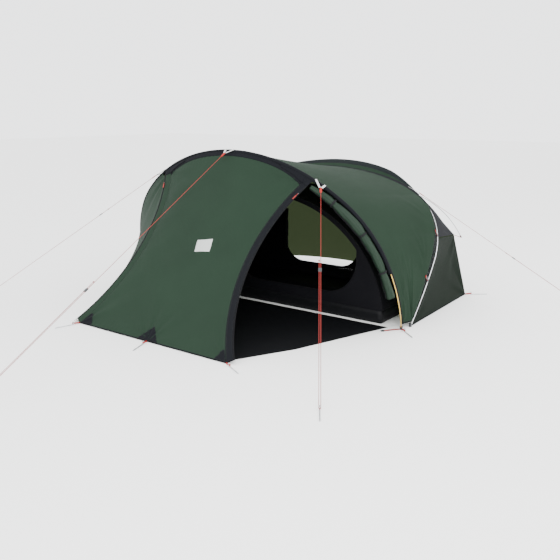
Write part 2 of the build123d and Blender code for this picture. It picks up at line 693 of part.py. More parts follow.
# ------------------------------------------------------------------ clips and straps
CLIP_L = 26.0
clips = []
for share in MESH_CLIP_S:
    s = rear_sleeve_s * share
    ring = tube(rear.wire(s, s + CLIP_L), REAR_POLE_R + FIT + CLIP_WALL, REAR_POLE_R + FIT)
    a = rear.at(s + CLIP_L / 2, 0.0, -(REAR_POLE_R + CLIP_WALL))
    b = rear.at(s + CLIP_L / 2, 0.0, -(rear_inset(s) - CLOTH / 2 - SEAM))
    along = unit(sub(rear.at(s + CLIP_L), rear.at(s)))
    inward = unit(sub(rear.at(s, 10.0), rear.at(s)))
    lift = INNER_CLOTH / 2 + SEAM + STRAP_T + 1.5
    tab = bar(add(a, inward, -lift), add(b, inward, -lift), STRAP_W, STRAP_T, along)
    clips += [ring + tab, placed(ring + tab, "right")]
parts["pole_clips"] = clips

BUCKLE_L, BUCKLE_W, BUCKLE_T = 30.0, 26.0, 6.0
FOOT_STRAP_L = 150.0
foot = front.at(0)
strap_dir = unit((-0.80, 0.60, 0.0))
strap_side = cross((0, 0, 1), strap_dir)
strap_a = add(add(foot, strap_dir, FOOT_R + SEAM), (0, 0, 6.0))
strap_b = add(strap_a, strap_dir, FOOT_STRAP_L)
foot_strap = bar(strap_a, strap_b, STRAP_W, STRAP_T, strap_side)
buckle_plane = Plane(origin=add(strap_b, strap_dir, SEAM), x_dir=strap_dir, z_dir=(0, 0, 1))
frame = buckle_plane * Pos(BUCKLE_L / 2, 0) * RectangleRounded(BUCKLE_L, BUCKLE_W, 4)
buckle = extrude(frame, BUCKLE_T / 2, both=True)
for offset in (8.0, 15.0, 22.0):
    slot = buckle_plane * Pos(offset, 0) * Rectangle(4.0, STRAP_W + 1)
    buckle -= extrude(slot, BUCKLE_T, both=True)
parts["foot_straps"] = [foot_strap, placed(foot_strap, "right")]
parts["foot_buckles"] = [buckle, placed(buckle, "right")]

# ------------------------------------------------------------------ pegs at the hems
PEG_GAP = 62.0               # from a hem's corner to the neck of its peg


def loop_and_peg(at, away, begin):
    """A webbing loop from a hem to a peg lying on the ground."""
    away = unit((away[0], away[1], 0.0))
    neck = add((at[0], at[1], 0.0), away, PEG_GAP)
    start = (at[0] + begin * away[0], at[1] + begin * away[1], 7.0)
    side = cross((0, 0, 1), away)
    ring_r = PEG_NECK_R + FIT
    solids = []
    for k in (1, -1):
        a = add(start, side, k * 2.0)
        b = add(add(neck, side, k * (ring_r + STRAP_T / 2)), (0, 0, PEG_NECK_Z))
        solids.append(bar(a, b, 11.0, STRAP_T, (0, 0, 1)))
    band = Plane(origin=add(neck, (0, 0, PEG_NECK_Z - 5.5))) * (
        Circle(ring_r + STRAP_T) - Circle(ring_r)
    )
    band = extrude(band, 11.0)
    cut = Plane(origin=add(add(neck, away, -20.0), (0, 0, PEG_NECK_Z)), z_dir=away) * Rectangle(40, 40)
    band -= extrude(cut, 20.0)
    hole = extrude(Plane(origin=neck) * Circle(ring_r), 4 * PEG_NECK_Z)
    return solids[0] + solids[1] + band - hole, peg(neck, away)


peg_places = [
    (hem_corner, (-0.45, -0.9), 6.0),
    ((hem_corner[0], -hem_corner[1], 0.0), (-0.9, 0.25), 1.6),
    ((hem_corner[0], 0.0, 0.0), (-1.0, -0.35), 2.9),
    ((CORNER_X, -CORNER_Y, 0.0), (0.6, -0.8), 1.5),
    ((CORNER_X, CORNER_Y, 0.0), (0.6, 0.8), 1.5),
    ((-4.0, -(FRONT_HALF_SPAN + FOOT_R - 3.0), 0.0), (-0.9, -1.0), 3.5),
    ((-4.0, FRONT_HALF_SPAN + FOOT_R - 3.0, 0.0), (-0.9, 1.0), 3.5),
]
loops, pegs = [], []
for place, away, begin in peg_places:
    loop, one_peg = loop_and_peg(place, away, begin)
    loops.append(loop)
    pegs.append(one_peg)
parts["peg_loops"] = loops
parts["hem_pegs"] = pegs

# ------------------------------------------------------------------ floors
SHEET_FRONT = (-1440.0, 850.0)
SHEET_BEND = (-970.0, 1100.0)
SHEET_REAR_HALF = 1440.0
outline = [
    (SHEET_FRONT[0], -SHEET_FRONT[1]),
    (SHEET_BEND[0], -SHEET_BEND[1]),
    (SHEET_REAR_X, -SHEET_REAR_HALF),
    (SHEET_REAR_X, SHEET_REAR_HALF),
    (SHEET_BEND[0], SHEET_BEND[1]),
    (SHEET_FRONT[0], SHEET_FRONT[1]),
]
parts["groundsheet"] = [extrude(Plane.XY * make_face(Polyline(*outline, close=True)), SHEET_T)]

inner_length = INNER_REAR_X - INNER_FRONT_X
inner_middle = (INNER_REAR_X + INNER_FRONT_X) / 2
tray = Pos(inner_middle, 0, TRAY_H / 2) * Box(inner_length, 2 * INNER_HALF, TRAY_H)
tray -= Pos(inner_middle, 0, TRAY_H / 2 + INNER_CLOTH) * Box(
    inner_length - 2 * INNER_CLOTH, 2 * (INNER_HALF - INNER_CLOTH), TRAY_H
)
parts["inner_tray"] = [tray]

# ------------------------------------------------------------------ inner tent
INNER_POWER = 2.3
WALL_RIM = 110.0             # least cloth left between a doorway and the wall's edge


def inner_arch(top, count, half=INNER_HALF, low=TRAY_H + FIT):
    """The inner tent's outline across, as (y, z)."""
    points = []
    for k in steps(count):
        y = -half * cos(pi * k)
        rise = max(0.0, 1 - abs(y / half) ** INNER_POWER) ** (1 / 1.7)
        points.append((y, low + (top - low) * rise))
    return points


def inner_wall(x, top, doorway):
    """An upright end wall with a doorway in it, standing on the tray's rim."""
    outline = Polyline(*inner_arch(top, 25, INNER_HALF - INNER_CLOTH), close=True)
    middle_y, middle_z, wide, high, round_r = doorway
    within = Polyline(*inner_arch(top - WALL_RIM, 25, INNER_HALF - WALL_RIM, TRAY_H), close=True)
    opening = Pos(middle_y, middle_z) * RectangleRounded(wide, high, round_r)
    wall = make_face(outline) - (opening & make_face(within))
    plane = Plane(origin=(x, 0, 0), x_dir=(0, 1, 0), z_dir=(1, 0, 0))
    return extrude(plane * wall, INNER_CLOTH)


parts["inner_front_wall"] = [inner_wall(INNER_FRONT_X, INNER_FRONT_TOP, FRONT_DOORWAY)]
parts["inner_rear_wall"] = [inner_wall(INNER_REAR_X - INNER_CLOTH, INNER_REAR_TOP, REAR_DOORWAY)]
canopy_rows = []
for k in steps(8):
    x = INNER_FRONT_X + INNER_CLOTH / 2 + (inner_length - INNER_CLOTH) * k
    top = INNER_FRONT_TOP + (INNER_REAR_TOP - INNER_FRONT_TOP) * k + 40.0 * 4 * k * (1 - k)
    arch_points = inner_arch(top, 25, low=TRAY_H + FIT - INNER_CLOTH / 2)
    grown = [(x, y, z + INNER_CLOTH / 2 + SEAM) for y, z in arch_points]
    canopy_rows.append(grown)
parts["inner_canopy"] = [sheet(canopy_rows, INNER_CLOTH)]

# Both inner doors are rolled back beside their doorways and tied.
DOOR_ROLL_R = 26.0


def inner_roll(x, doorway, side):
    middle_y, middle_z, wide, high, round_r = doorway
    y = middle_y + side * (wide / 2 + DOOR_ROLL_R * 0.6)
    base = Plane(origin=(x, y, middle_z - high * 0.34))
    return extrude(base * Circle(DOOR_ROLL_R), high * 0.62)


roll_gap = DOOR_ROLL_R + SEAM
parts["inner_door_rolls"] = [
    inner_roll(INNER_FRONT_X + INNER_CLOTH + roll_gap, FRONT_DOORWAY, 1),
    inner_roll(INNER_REAR_X - INNER_CLOTH - roll_gap, REAR_DOORWAY, 1),
]

# Elastic hangers hold the inner tent up under the rear hoop.
HANGER_R = 3.0
HANGER_Y = (-420.0, 0.0, 420.0)
HANGER_V = 0.953             # how far back along the inner roof they are sewn
hangers = []
for y in HANGER_Y:
    s = rear.find(lambda p: p[1] > -abs(y) - 0.01)
    s = rear.length - s if y > 0 else s
    pole_point = rear.at(s)
    across = acos(-y / INNER_HALF) / pi
    on_roof, down = on_grid(canopy_rows, across, HANGER_V)
    beside, _ = on_grid(canopy_rows, across + 0.01, HANGER_V)
    normal = unit(cross(down, unit(sub(beside, on_roof))))
    aim = unit(sub(pole_point, on_roof))
    tilt = sqrt(max(0.0, 1 - dot(aim, normal) ** 2))
    base = add(on_roof, normal, INNER_CLOTH / 2 + SEAM + HANGER_R * tilt)
    aim = unit(sub(pole_point, base))
    lean = abs(dot(aim, unit(sub(rear.at(s + 5), rear.at(s - 5)))))
    end = add(pole_point, aim, -(SLEEVE_R + SEAM) / sqrt(1 - lean**2) - HANGER_R * lean)
    hangers.append(tube(Wire([Edge.make_line(base, end)]), HANGER_R))
parts["inner_hangers"] = hangers


# ------------------------------------------------------------------ guy lines
def guy(name, arch, s, side, peg_x, peg_y, runner_share):
    """One guy: webbing V, adapter, doubled cord round a lying peg, and its runner."""
    anchor = arch.at(s)
    target = (peg_x, peg_y, PEG_NECK_Z)
    aim = unit(sub(target, anchor))
    outward = unit(sub(arch.at(s), arch.at(s, 10.0)))
    offset = add(tuple(ANCHOR_DROP * k for k in aim), outward, ANCHOR_LIFT)
    vertex = add(anchor, offset)
    # the V lies in the plane through its point that just touches the sleeve
    hoop_way = unit(sub(arch.at(s + 5), arch.at(s - 5)))
    level_offset = sub(offset, tuple(dot(offset, hoop_way) * k for k in hoop_way))
    far = sqrt(dot(level_offset, level_offset))
    forward = unit(level_offset)
    over = unit(sub(outward, tuple(dot(outward, forward) * k for k in forward)))
    touch = acos((SLEEVE_R + SEAM + STRAP_T / 2) / far)
    off = add(tuple(cos(touch) * k for k in forward), over, sin(touch))
    aim = unit(sub(target, vertex))
    apart = unit(sub(hoop_way, tuple(dot(hoop_way, aim) * k for k in aim)))
    solids = []
    for k in (1, -1):
        begin = add(arch.at(s + k * ANCHOR_SPREAD), off, SLEEVE_R + SEAM + STRAP_T / 2 + 0.3)
        end = add(vertex, apart, k * (STRAP_W / 2 + 0.2))
        solids.append(bar(begin, end, STRAP_W, STRAP_T, cross(sub(end, begin), off)))
    start = add(vertex, aim, 0.9)
    level = unit(cross((0, 0, 1), aim))
    rise = cross(aim, level)
    adapter = bar(start, add(start, aim, ADAPTER_L), STRAP_W, STRAP_W * 0.3, level)
    cord_start = add(start, aim, ADAPTER_L)
    reach = sqrt(dot(sub(target, cord_start), sub(target, cord_start)))
    half = STRAND_GAP / 2
    turn = add(target, aim, half)
    runner_middle = add(cord_start, aim, reach * runner_share)
    a = cord_start
    b = turn
    c = add(turn, level, -STRAND_GAP)
    d = add(add(runner_middle, aim, -TAIL), level, -STRAND_GAP)
    radius = 0.45 * STRAND_GAP
    path = FilletPolyline(a, b, c, d, radius=radius)
    cord = sweep(Plane(origin=a, z_dir=aim) * Circle(CORD_D / 2), path=path.wire())
    expected = pi * (CORD_D / 2) ** 2 * path.length
    share = round(cord.volume / expected, 4)
    print(name, "length", round(path.length), "radius", round(radius, 1), "volume share", share)
    body_middle = add(runner_middle, level, -half)
    plane = Plane(origin=add(body_middle, aim, -RUNNER[2] / 2), x_dir=level, z_dir=aim)
    body = extrude(plane * RectangleRounded(RUNNER[0], RUNNER[1], 4.0), RUNNER[2])
    for k in (1, -1):
        body -= extrude(plane * Pos(k * half, 0) * Circle(CORD_D / 2 + FIT), RUNNER[2])
    neck = add((peg_x, peg_y, 0.0), level, -half)
    parts[f"guy_{name}"] = [cord]
    parts[f"runner_{name}"] = [body]
    parts[f"guy_peg_{name}"] = [peg(neck, aim)]
    axes[name] = (aim, body_middle, reach)
    return solids, adapter


axes = {}
webbing, adapters = [], []
for row in (
    ("front", front, CROWN_F, 1, -3050.0, 0.0, 0.62),
    ("left", front, side_anchor_s, -1, -1800.0, -1873.0, 0.42),
    ("right", front, front.length - side_anchor_s, 1, -1530.0, 2360.0, 0.30),
    ("rear", rear, rear_anchor_s, -1, 1850.0, -2560.0, 0.60),
):
    solids, adapter = guy(*row)
    webbing += solids
    adapters.append(adapter)
parts["guy_webbing"] = webbing
parts["guy_adapters"] = adapters

# ------------------------------------------------------------------ writing
FREE = [n for n in parts if n.startswith(("guy_front", "guy_left", "guy_right", "guy_rear"))]
FREE += [n for n in parts if n.startswith(("runner_", "guy_peg_"))]
tent = Compound([solid for name, solids in parts.items() if name not in FREE for solid in solids])
box = tent.bounding_box()
shift = Vector(-(box.min.X + box.max.X) / 2, -(box.min.Y + box.max.Y) / 2, -box.min.Z)
os.makedirs("parts", exist_ok=True)
for name, solids in parts.items():
    moved = [solid.moved(Location(shift)) for piece in solids for solid in piece.solids()]
    export_step(Compound(moved) if len(moved) > 1 else moved[0], f"parts/{name}.step")
print(len(parts), "nodes, moved by", shift, "tent box", box.size)


def metres(point):
    return [round((p + q) / 1000, 5) for p, q in zip(point, shift)]


def tidy(direction, sign=1):
    return [round(sign * k, 5) for k in tuple(direction)]


print("door circle", metres(edge_centre), "axis", tidy(edge_normal))
print("half angle", round(degrees(edge_half_angle), 3), "slider at", SLIDER_AT)
print("puller pin", metres(tuple(slider_pin.origin)), "axis", tidy(slider_pin.z_dir, -1))
for name, (aim, middle, reach) in axes.items():
    print("guy", name, "axis", tidy(aim), "runner", metres(middle), "reach", round(reach))
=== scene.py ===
# %% [markdown]
# # A two-hoop tent with a deep porch
# The tent stands on two bent poles. A green outer tent is sewn to the pole sleeves, a
# dark inner tent hangs inside it, and thin guy lines hold everything taut. All sizes
# are in metres. The cloth sizes are estimates, worked out from the tent's own shape.
# +X runs from the porch to the rear, -Y is the side with the rolled-up door, +Z is up.

import bpy
import math
import numpy as np
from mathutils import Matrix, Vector, noise


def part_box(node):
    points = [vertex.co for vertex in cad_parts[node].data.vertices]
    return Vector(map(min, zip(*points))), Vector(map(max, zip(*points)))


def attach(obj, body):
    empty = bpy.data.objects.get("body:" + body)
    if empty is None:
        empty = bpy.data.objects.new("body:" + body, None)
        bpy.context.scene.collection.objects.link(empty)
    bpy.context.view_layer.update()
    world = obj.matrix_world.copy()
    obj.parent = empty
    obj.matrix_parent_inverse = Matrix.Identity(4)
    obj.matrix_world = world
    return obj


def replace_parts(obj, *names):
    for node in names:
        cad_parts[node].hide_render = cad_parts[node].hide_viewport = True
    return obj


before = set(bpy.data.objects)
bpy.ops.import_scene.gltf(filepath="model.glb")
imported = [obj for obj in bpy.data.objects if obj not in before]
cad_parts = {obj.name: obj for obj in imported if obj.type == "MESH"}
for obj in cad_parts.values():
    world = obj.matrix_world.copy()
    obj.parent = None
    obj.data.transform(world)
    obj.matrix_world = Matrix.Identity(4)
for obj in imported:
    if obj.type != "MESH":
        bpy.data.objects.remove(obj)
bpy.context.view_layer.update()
INNER_X = (0.030, 1.310)        # the inner tent's two ends, from the front pole's feet
SHIFT = np.array([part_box("inner_tray")[0][0] - INNER_X[0], 0.0, 0.0])

# %% [markdown]
# The camera comes first, so that every later choice can be judged through it. It stands
# a little above the tent, off its front left corner, with a moderately long lens.

# %% Camera
camera_data = bpy.data.cameras.new("camera")
camera_data.lens = 43.35
camera_data.sensor_width = 36.0
camera = bpy.data.objects.new("camera", camera_data)
bpy.context.scene.collection.objects.link(camera)
camera.location = Vector((-5.173, -3.984, 1.843)) + Vector(SHIFT)
looking = Vector((0.7872, 0.5674, -0.2416))
camera.rotation_euler = looking.to_track_quat("-Z", "Y").to_euler()
bpy.context.scene.camera = camera
print("camera at", tuple(round(c, 3) for c in camera.location))

# %% [markdown]
# Plain studio surroundings: a pale floor, a bright even sky and two large soft lamps,
# so that cloth shows its folds by gentle shading and not by hard shadows.

# %% Floor and light
floor_mesh = bpy.data.meshes.new("studio_floor")
FLOOR_HALF, FLOOR_Z = 40, -0.0004
floor_corners = [(FLOOR_HALF * x, FLOOR_HALF * y, FLOOR_Z) for x, y in ((-1, -1), (1, -1), (1, 1), (-1, 1))]
floor_mesh.from_pydata(floor_corners, [], [(0, 1, 2, 3)])
studio_floor = bpy.data.objects.new("studio_floor", floor_mesh)
bpy.context.scene.collection.objects.link(studio_floor)
floor_paint = bpy.data.materials.new("pale_floor")
floor_paint.use_nodes = True
floor_shader = floor_paint.node_tree.nodes["Principled BSDF"]
floor_shader.inputs["Base Color"].default_value = (0.93, 0.93, 0.92, 1)
floor_shader.inputs["Roughness"].default_value = 0.9
studio_floor.data.materials.append(floor_paint)

world = bpy.data.worlds.new("studio_sky")
bpy.context.scene.world = world
world.use_nodes = True
world.node_tree.nodes["Background"].inputs["Color"].default_value = (0.98, 0.99, 1.0, 1)
world.node_tree.nodes["Background"].inputs["Strength"].default_value = 3.0


def soft_lamp(name, place, target, size, power):
    """A large square lamp aimed at a point."""
    data = bpy.data.lights.new(name, "AREA")
    data.size = size
    data.energy = power
    lamp = bpy.data.objects.new(name, data)
    lamp.location = place
    lamp.rotation_euler = (Vector(target) - Vector(place)).to_track_quat("-Z", "Y").to_euler()
    bpy.context.scene.collection.objects.link(lamp)
    return lamp


soft_lamp("lamp_front", (-5.5, -5.0, 4.5), (0, 0, 0.6), 4.0, 420)
soft_lamp("lamp_side", (3.5, -6.0, 4.0), (0.5, 0, 0.6), 3.0, 150)
print("studio ready")

# %% [markdown]
# ## Helpers for points
# Each pole is a hoop of tangent arcs that leans away from the upright. A place on it is
# a length along the pole from its left foot. From that length the helper gives a point,
# moved in towards the tent or back out of the hoop's plane as needed.


# %% The hoop
class Hoop:
    def __init__(self, half_span, height, lean, foot_x, turns, leg_ratio):
        self.foot_x = foot_x
        plane_height = math.hypot(height, lean)
        self.up = np.array([lean / plane_height, 0.0, height / plane_height])
        self.back = np.array([height / plane_height, 0.0, -lean / plane_height])
        leg, shoulder, crown = (math.radians(t) for t in turns)
        start = leg + shoulder + crown
        moves = [self.move(start, start - leg), self.move(start - leg, crown), self.move(crown, 0.0)]
        a, c = (leg_ratio * moves[0][k] + moves[2][k] for k in (0, 1))
        b, d = moves[1]
        crown_r = (half_span * d - b * plane_height) / (a * d - b * c)
        shoulder_r = (a * plane_height - c * half_span) / (a * d - b * c)
        self.arcs = []
        place, heading, length = (-half_span, 0.0), start, 0.0
        for radius, turn in ((leg_ratio * crown_r, leg), (shoulder_r, shoulder), (crown_r, crown)):
            self.arcs.append((length, radius, heading, place))
            step = self.move(heading, heading - turn)
            place = (place[0] + radius * step[0], place[1] + radius * step[1])
            heading -= turn
            length += radius * turn
        self.length = 2 * length
        self.table_s = np.linspace(0, length, 2000)
        self.table = np.array([self.at(s) for s in self.table_s])

    @staticmethod
    def move(a, b):
        return (math.sin(a) - math.sin(b), math.cos(b) - math.cos(a))

    def at(self, s, inset=0.0, back=0.0):
        mirrored = s > self.length / 2
        s = min(s, self.length - s)
        begin, radius, heading, place = [arc for arc in self.arcs if arc[0] <= s + 1e-9][-1]
        now = heading - (s - begin) / radius
        step = self.move(heading, now)
        across = place[0] + radius * step[0] + inset * math.sin(now)
        rise = place[1] + radius * step[1] - inset * math.cos(now)
        point = np.array([self.foot_x, -across if mirrored else across, 0.0]) + rise * self.up
        return point + back * self.back + SHIFT

    def s_at_y(self, y):
        """The length along the left half where the pole is this far out (y is negative)."""
        return float(np.interp(y, self.table[:, 1], self.table_s))

    def s_at_z(self, z):
        return float(np.interp(z, self.table[:, 2], self.table_s))


front = Hoop(1.560, 1.500, -0.418, 0.0, (25.7, 29.4, 39.4), 0.89)
rear = Hoop(1.590, 1.250, 1.215, 0.118, (6.6, 60.6, 24.8), 2.57)
SLEEVE_R = 0.017
REAR_POLE_R = 0.005
print("front pole", round(front.length, 3), "m, rear pole", round(rear.length, 3), "m")


# %% Small vector helpers
def unit(a):
    a = np.asarray(a, dtype=float)
    return a / max(np.linalg.norm(a), 1e-12)


def mix(a, b, k):
    return np.asarray(a) * (1 - k) + np.asarray(b) * k


def flipped(points):
    """The same points on the other side of the tent."""
    points = np.array(points, dtype=float)
    points[..., 1] *= -1
    return points


def fill(bottom, top, left, right, sag=(0, 0, 0)):
    """A grid of points between four edges. bottom and top run the same way."""
    bottom, top, left, right = (np.asarray(e, dtype=float) for e in (bottom, top, left, right))
    u = np.linspace(0, 1, len(bottom))[None, :, None]
    v = np.linspace(0, 1, len(left))[:, None, None]
    sides = left[:, None] * (1 - u) + right[:, None] * u
    ends = bottom[None] * (1 - v) + top[None] * v
    low = bottom[0] * (1 - u) + bottom[-1] * u
    high = top[0] * (1 - u) + top[-1] * u
    corners = low * (1 - v) + high * v
    return sides + ends - corners + 16 * u * (1 - u) * v * (1 - v) * np.array(sag, dtype=float)


def rough(points, scale, seed=0.0):
    """Smooth noise from -1 to 1 at each point of a grid."""
    flat = points.reshape(-1, 3)
    values = [noise.noise(Vector(p) * scale + Vector((seed, seed * 1.7, 0))) for p in flat]
    return np.array(values).reshape(points.shape[:-1])


def grid_normals(rows):
    """Which way the cloth faces at each point of its grid."""
    across = np.gradient(rows, axis=1)
    down = np.gradient(rows, axis=0)
    normal = np.cross(across, down)
    return normal / np.maximum(np.linalg.norm(normal, axis=2, keepdims=True), 1e-12)


# %% [markdown]
# ## Cloth
# Sewn cloth is never a smooth sheet. Folds fan out from each point that is pulled, and
# the edge of a panel puckers where its thread is tight. Both are added to the grid of
# points by formula, since a tight tent's folds follow its pulls, and a drape
# simulation would make them loose.


# %% Folds in a grid
def fan(rows, centre, count, reach, depth, turn=0.0, core=0.03):
    """Folds that fan out from a pulled point and fade with distance."""
    normal = grid_normals(rows)
    middle = normal.reshape(-1, 3).mean(axis=0)
    side = unit(np.cross(middle, [0.13, 0.2, 1.0]))
    other = np.cross(unit(middle), side)
    offset = rows - np.asarray(centre)
    distance = np.linalg.norm(offset, axis=2)
    angle = np.arctan2(offset @ other, offset @ side)
    wave = np.sin(count * angle + turn) + 0.4 * np.sin(1.7 * count * angle + 2 * turn + 1)
    fade = np.clip((distance - core * 0.3) / core, 0, 1) * np.exp(-(distance / reach) ** 2)
    return rows + normal * (depth * wave * fade * hold_edges(rows))[..., None]


def hold_edges(rows, width=0.04):
    """0 on the border of a grid, rising to 1 inside it."""
    across = np.linspace(0, 1, rows.shape[1]) * np.linalg.norm(rows[0, -1] - rows[0, 0])
    down = np.linspace(0, 1, rows.shape[0]) * np.linalg.norm(rows[-1, 0] - rows[0, 0])
    wide = np.minimum(across, across[-1] - across)
    high = np.minimum(down, down[-1] - down)
    inner = np.minimum(np.clip(wide / width, 0, 1)[None, :], np.clip(high / width, 0, 1)[:, None])
    return inner * inner * (3 - 2 * inner)


def pucker(rows, edge, pitch, depth, reach, seed=1.0):
    """Short ripples at right angles to one sewn edge: top, bottom, left or right."""
    along_rows = edge in ("top", "bottom")
    line = {"top": rows[0], "bottom": rows[-1], "left": rows[:, 0], "right": rows[:, -1]}[edge]
    place = np.concatenate([[0], np.cumsum(np.linalg.norm(np.diff(line, axis=0), axis=1))])
    wave = np.sin(2 * np.pi * place / pitch + 1.5 * np.sin(place * 9 + seed))
    wave = wave * (0.6 + 0.4 * np.sin(place * 5 + seed))
    if along_rows:
        away = np.linalg.norm(rows - line[None], axis=2)
        wave = wave[None, :]
    else:
        away = np.linalg.norm(rows - line[:, None], axis=2)
        wave = wave[:, None]
    fade = np.clip(away / 0.012, 0, 1) * np.exp(-away / reach)
    return rows + grid_normals(rows) * (depth * wave * fade * hold_edges(rows, 0.015))[..., None]


def slack(rows, scale, depth, seed):
    """Broad soft unevenness."""
    swell = depth * rough(rows, scale, seed) * hold_edges(rows, 0.12)
    return rows + grid_normals(rows) * swell[..., None]


def creases(rows, slope, count, depth, seed):
    """Long shallow ripples that run slantwise across a tight panel and come and go."""
    u = np.linspace(0, 1, rows.shape[1])[None, :]
    v = np.linspace(0, 1, rows.shape[0])[:, None]
    drift = rough(rows, 1.1, seed)
    wave = np.sin(2 * np.pi * (count * v + slope * u + 0.55 * drift))
    wave = np.sign(wave) * np.abs(wave) ** 1.6
    strength = np.clip(0.35 + 1.3 * rough(rows, 1.7, seed + 9), 0, 1)
    return rows + grid_normals(rows) * (depth * wave * strength * hold_edges(rows, 0.15))[..., None]


# %% [markdown]
# A panel becomes a mesh with its own flat pattern as UV map, in metres, so that the
# weave runs with the cloth. A Solidify modifier gives it a hem's worth of thickness.


# %% Cloth mesh
def add_object(name, data):
    thing = bpy.data.objects.new(name, data)
    bpy.context.scene.collection.objects.link(thing)
    return thing


def cloth(name, rows, material, thickness=0.0012, inside=None, closed=False, outward=None):
    """A panel from a grid of points. outward is a point that its right side faces away from."""
    rows = np.asarray(rows, dtype=float)
    high, wide = rows.shape[:2]
    if outward is not None:
        facing = (grid_normals(rows) * (rows - np.asarray(outward))).sum()
        if facing < 0:
            rows = rows[:, ::-1]
    across = np.linalg.norm(np.diff(rows, axis=1), axis=2)
    down = np.linalg.norm(np.diff(rows, axis=0), axis=2)
    u = np.concatenate([np.zeros((high, 1)), np.cumsum(across, axis=1)], axis=1)
    v = np.concatenate([np.zeros((1, wide)), np.cumsum(down, axis=0)], axis=0)
    u = u - u.mean(axis=1, keepdims=True)
    faces = []
    last = wide if closed else wide - 1
    for j in range(high - 1):
        for i in range(last):
            k = (i + 1) % wide
            faces.append((j * wide + i, j * wide + k, (j + 1) * wide + k, (j + 1) * wide + i))
    mesh = bpy.data.meshes.new(name)
    mesh.from_pydata(rows.reshape(-1, 3).tolist(), [], faces)
    uv = mesh.uv_layers.new(name="cloth")
    flat_u, flat_v = u.reshape(-1), v.reshape(-1)
    wrap = float(across.sum(axis=1).mean()) * wide / max(wide - 1, 1)
    corners = []
    for face in faces:
        us = [flat_u[c] for c in face]
        if closed and max(us) - min(us) > wrap / 2:
            us = [x + wrap if x < 0 else x for x in us]
        corners += [c for x, at in zip(us, face) for c in (x, flat_v[at])]
    uv.data.foreach_set("uv", corners)
    mesh.shade_smooth()
    piece = add_object(name, mesh)
    mesh.materials.append(material)
    if inside is not None:
        mesh.materials.append(inside)
    if thickness:
        wall = piece.modifiers.new("thickness", "SOLIDIFY")
        wall.thickness = thickness
        wall.offset = 0.0
        if inside is not None:
            wall.material_offset = 1
    return piece


def declare_sheet(piece, width, length, held, on, node_names, slot, area=None, extras=()):
    """Print a panel's cut size and area and hide the CAD nodes it stands for. What it hangs from is not used.

    Where no area is given it is the drawn mesh's own, up to the full rectangle.
    """
    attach(piece, "tent")
    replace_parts(piece, *node_names)
    if area is None:
        area = sum(p.area for p in piece.data.polygons)
    area = min(area, width * length)
    print(piece.name, "flat", round(width, 3), "x", round(length, 3), "m, area", round(area, 3), "m2")


# %% [markdown]
# ## Finishes
# One recipe makes every woven finish. Threads cross at a fine pitch, a stronger thread
# every few millimetres makes the small squares of ripstop cloth, and slow noise changes
# the colour a little, as dye and dust do. The relief is small, because the real cloth
# is thinner than a sheet of paper.


# %% Shader node helpers
def shader_node(tree, kind, values=(), operation=None):
    """A new node with its inputs set, each to a plain value or to another node's output."""
    made = tree.nodes.new("ShaderNode" + kind)
    if operation:
        made.operation = operation
    for socket, value in dict(values).items():
        if isinstance(value, bpy.types.NodeSocket):
            tree.links.new(value, made.inputs[socket])
        else:
            made.inputs[socket].default_value = value
    return made


def ranged(tree, source, before, after):
    """A value carried from one range to another."""
    limits = {"From Min": before[0], "From Max": before[1], "To Min": after[0], "To Max": after[1]}
    return shader_node(tree, "MapRange", {"Value": source, **limits}).outputs["Result"]


def joined(tree, a, b, operation):
    return shader_node(tree, "Math", {0: a, 1: b}, operation).outputs[0]


def lines_mask(tree, coordinate, pitch, width):
    """1 on lines that repeat along a coordinate, 0 between them."""
    return ranged(tree, joined(tree, coordinate, pitch / 2, "PINGPONG"), (0.0, width), (1.0, 0.0))


def tinted(tree, shader, colour, amount):
    """The base colour, made lighter and darker by an amount near 1."""
    tint = shader_node(tree, "VectorMath", {0: colour, "Scale": amount}, "SCALE")
    tree.links.new(tint.outputs[0], shader.inputs["Base Color"])


def embossed(tree, shader, height, strength, distance):
    bump = shader_node(tree, "Bump", {"Strength": strength, "Distance": distance, "Height": height})
    tree.links.new(bump.outputs["Normal"], shader.inputs["Normal"])


NOISE_RANGE = (0.3, 0.7)        # where nearly all of a noise texture's values lie
THREAD_RELIEF = 0.35            # a thread's height beside a ripstop thread's
RIPSTOP_WIDTH = 0.0005


# %% Woven material


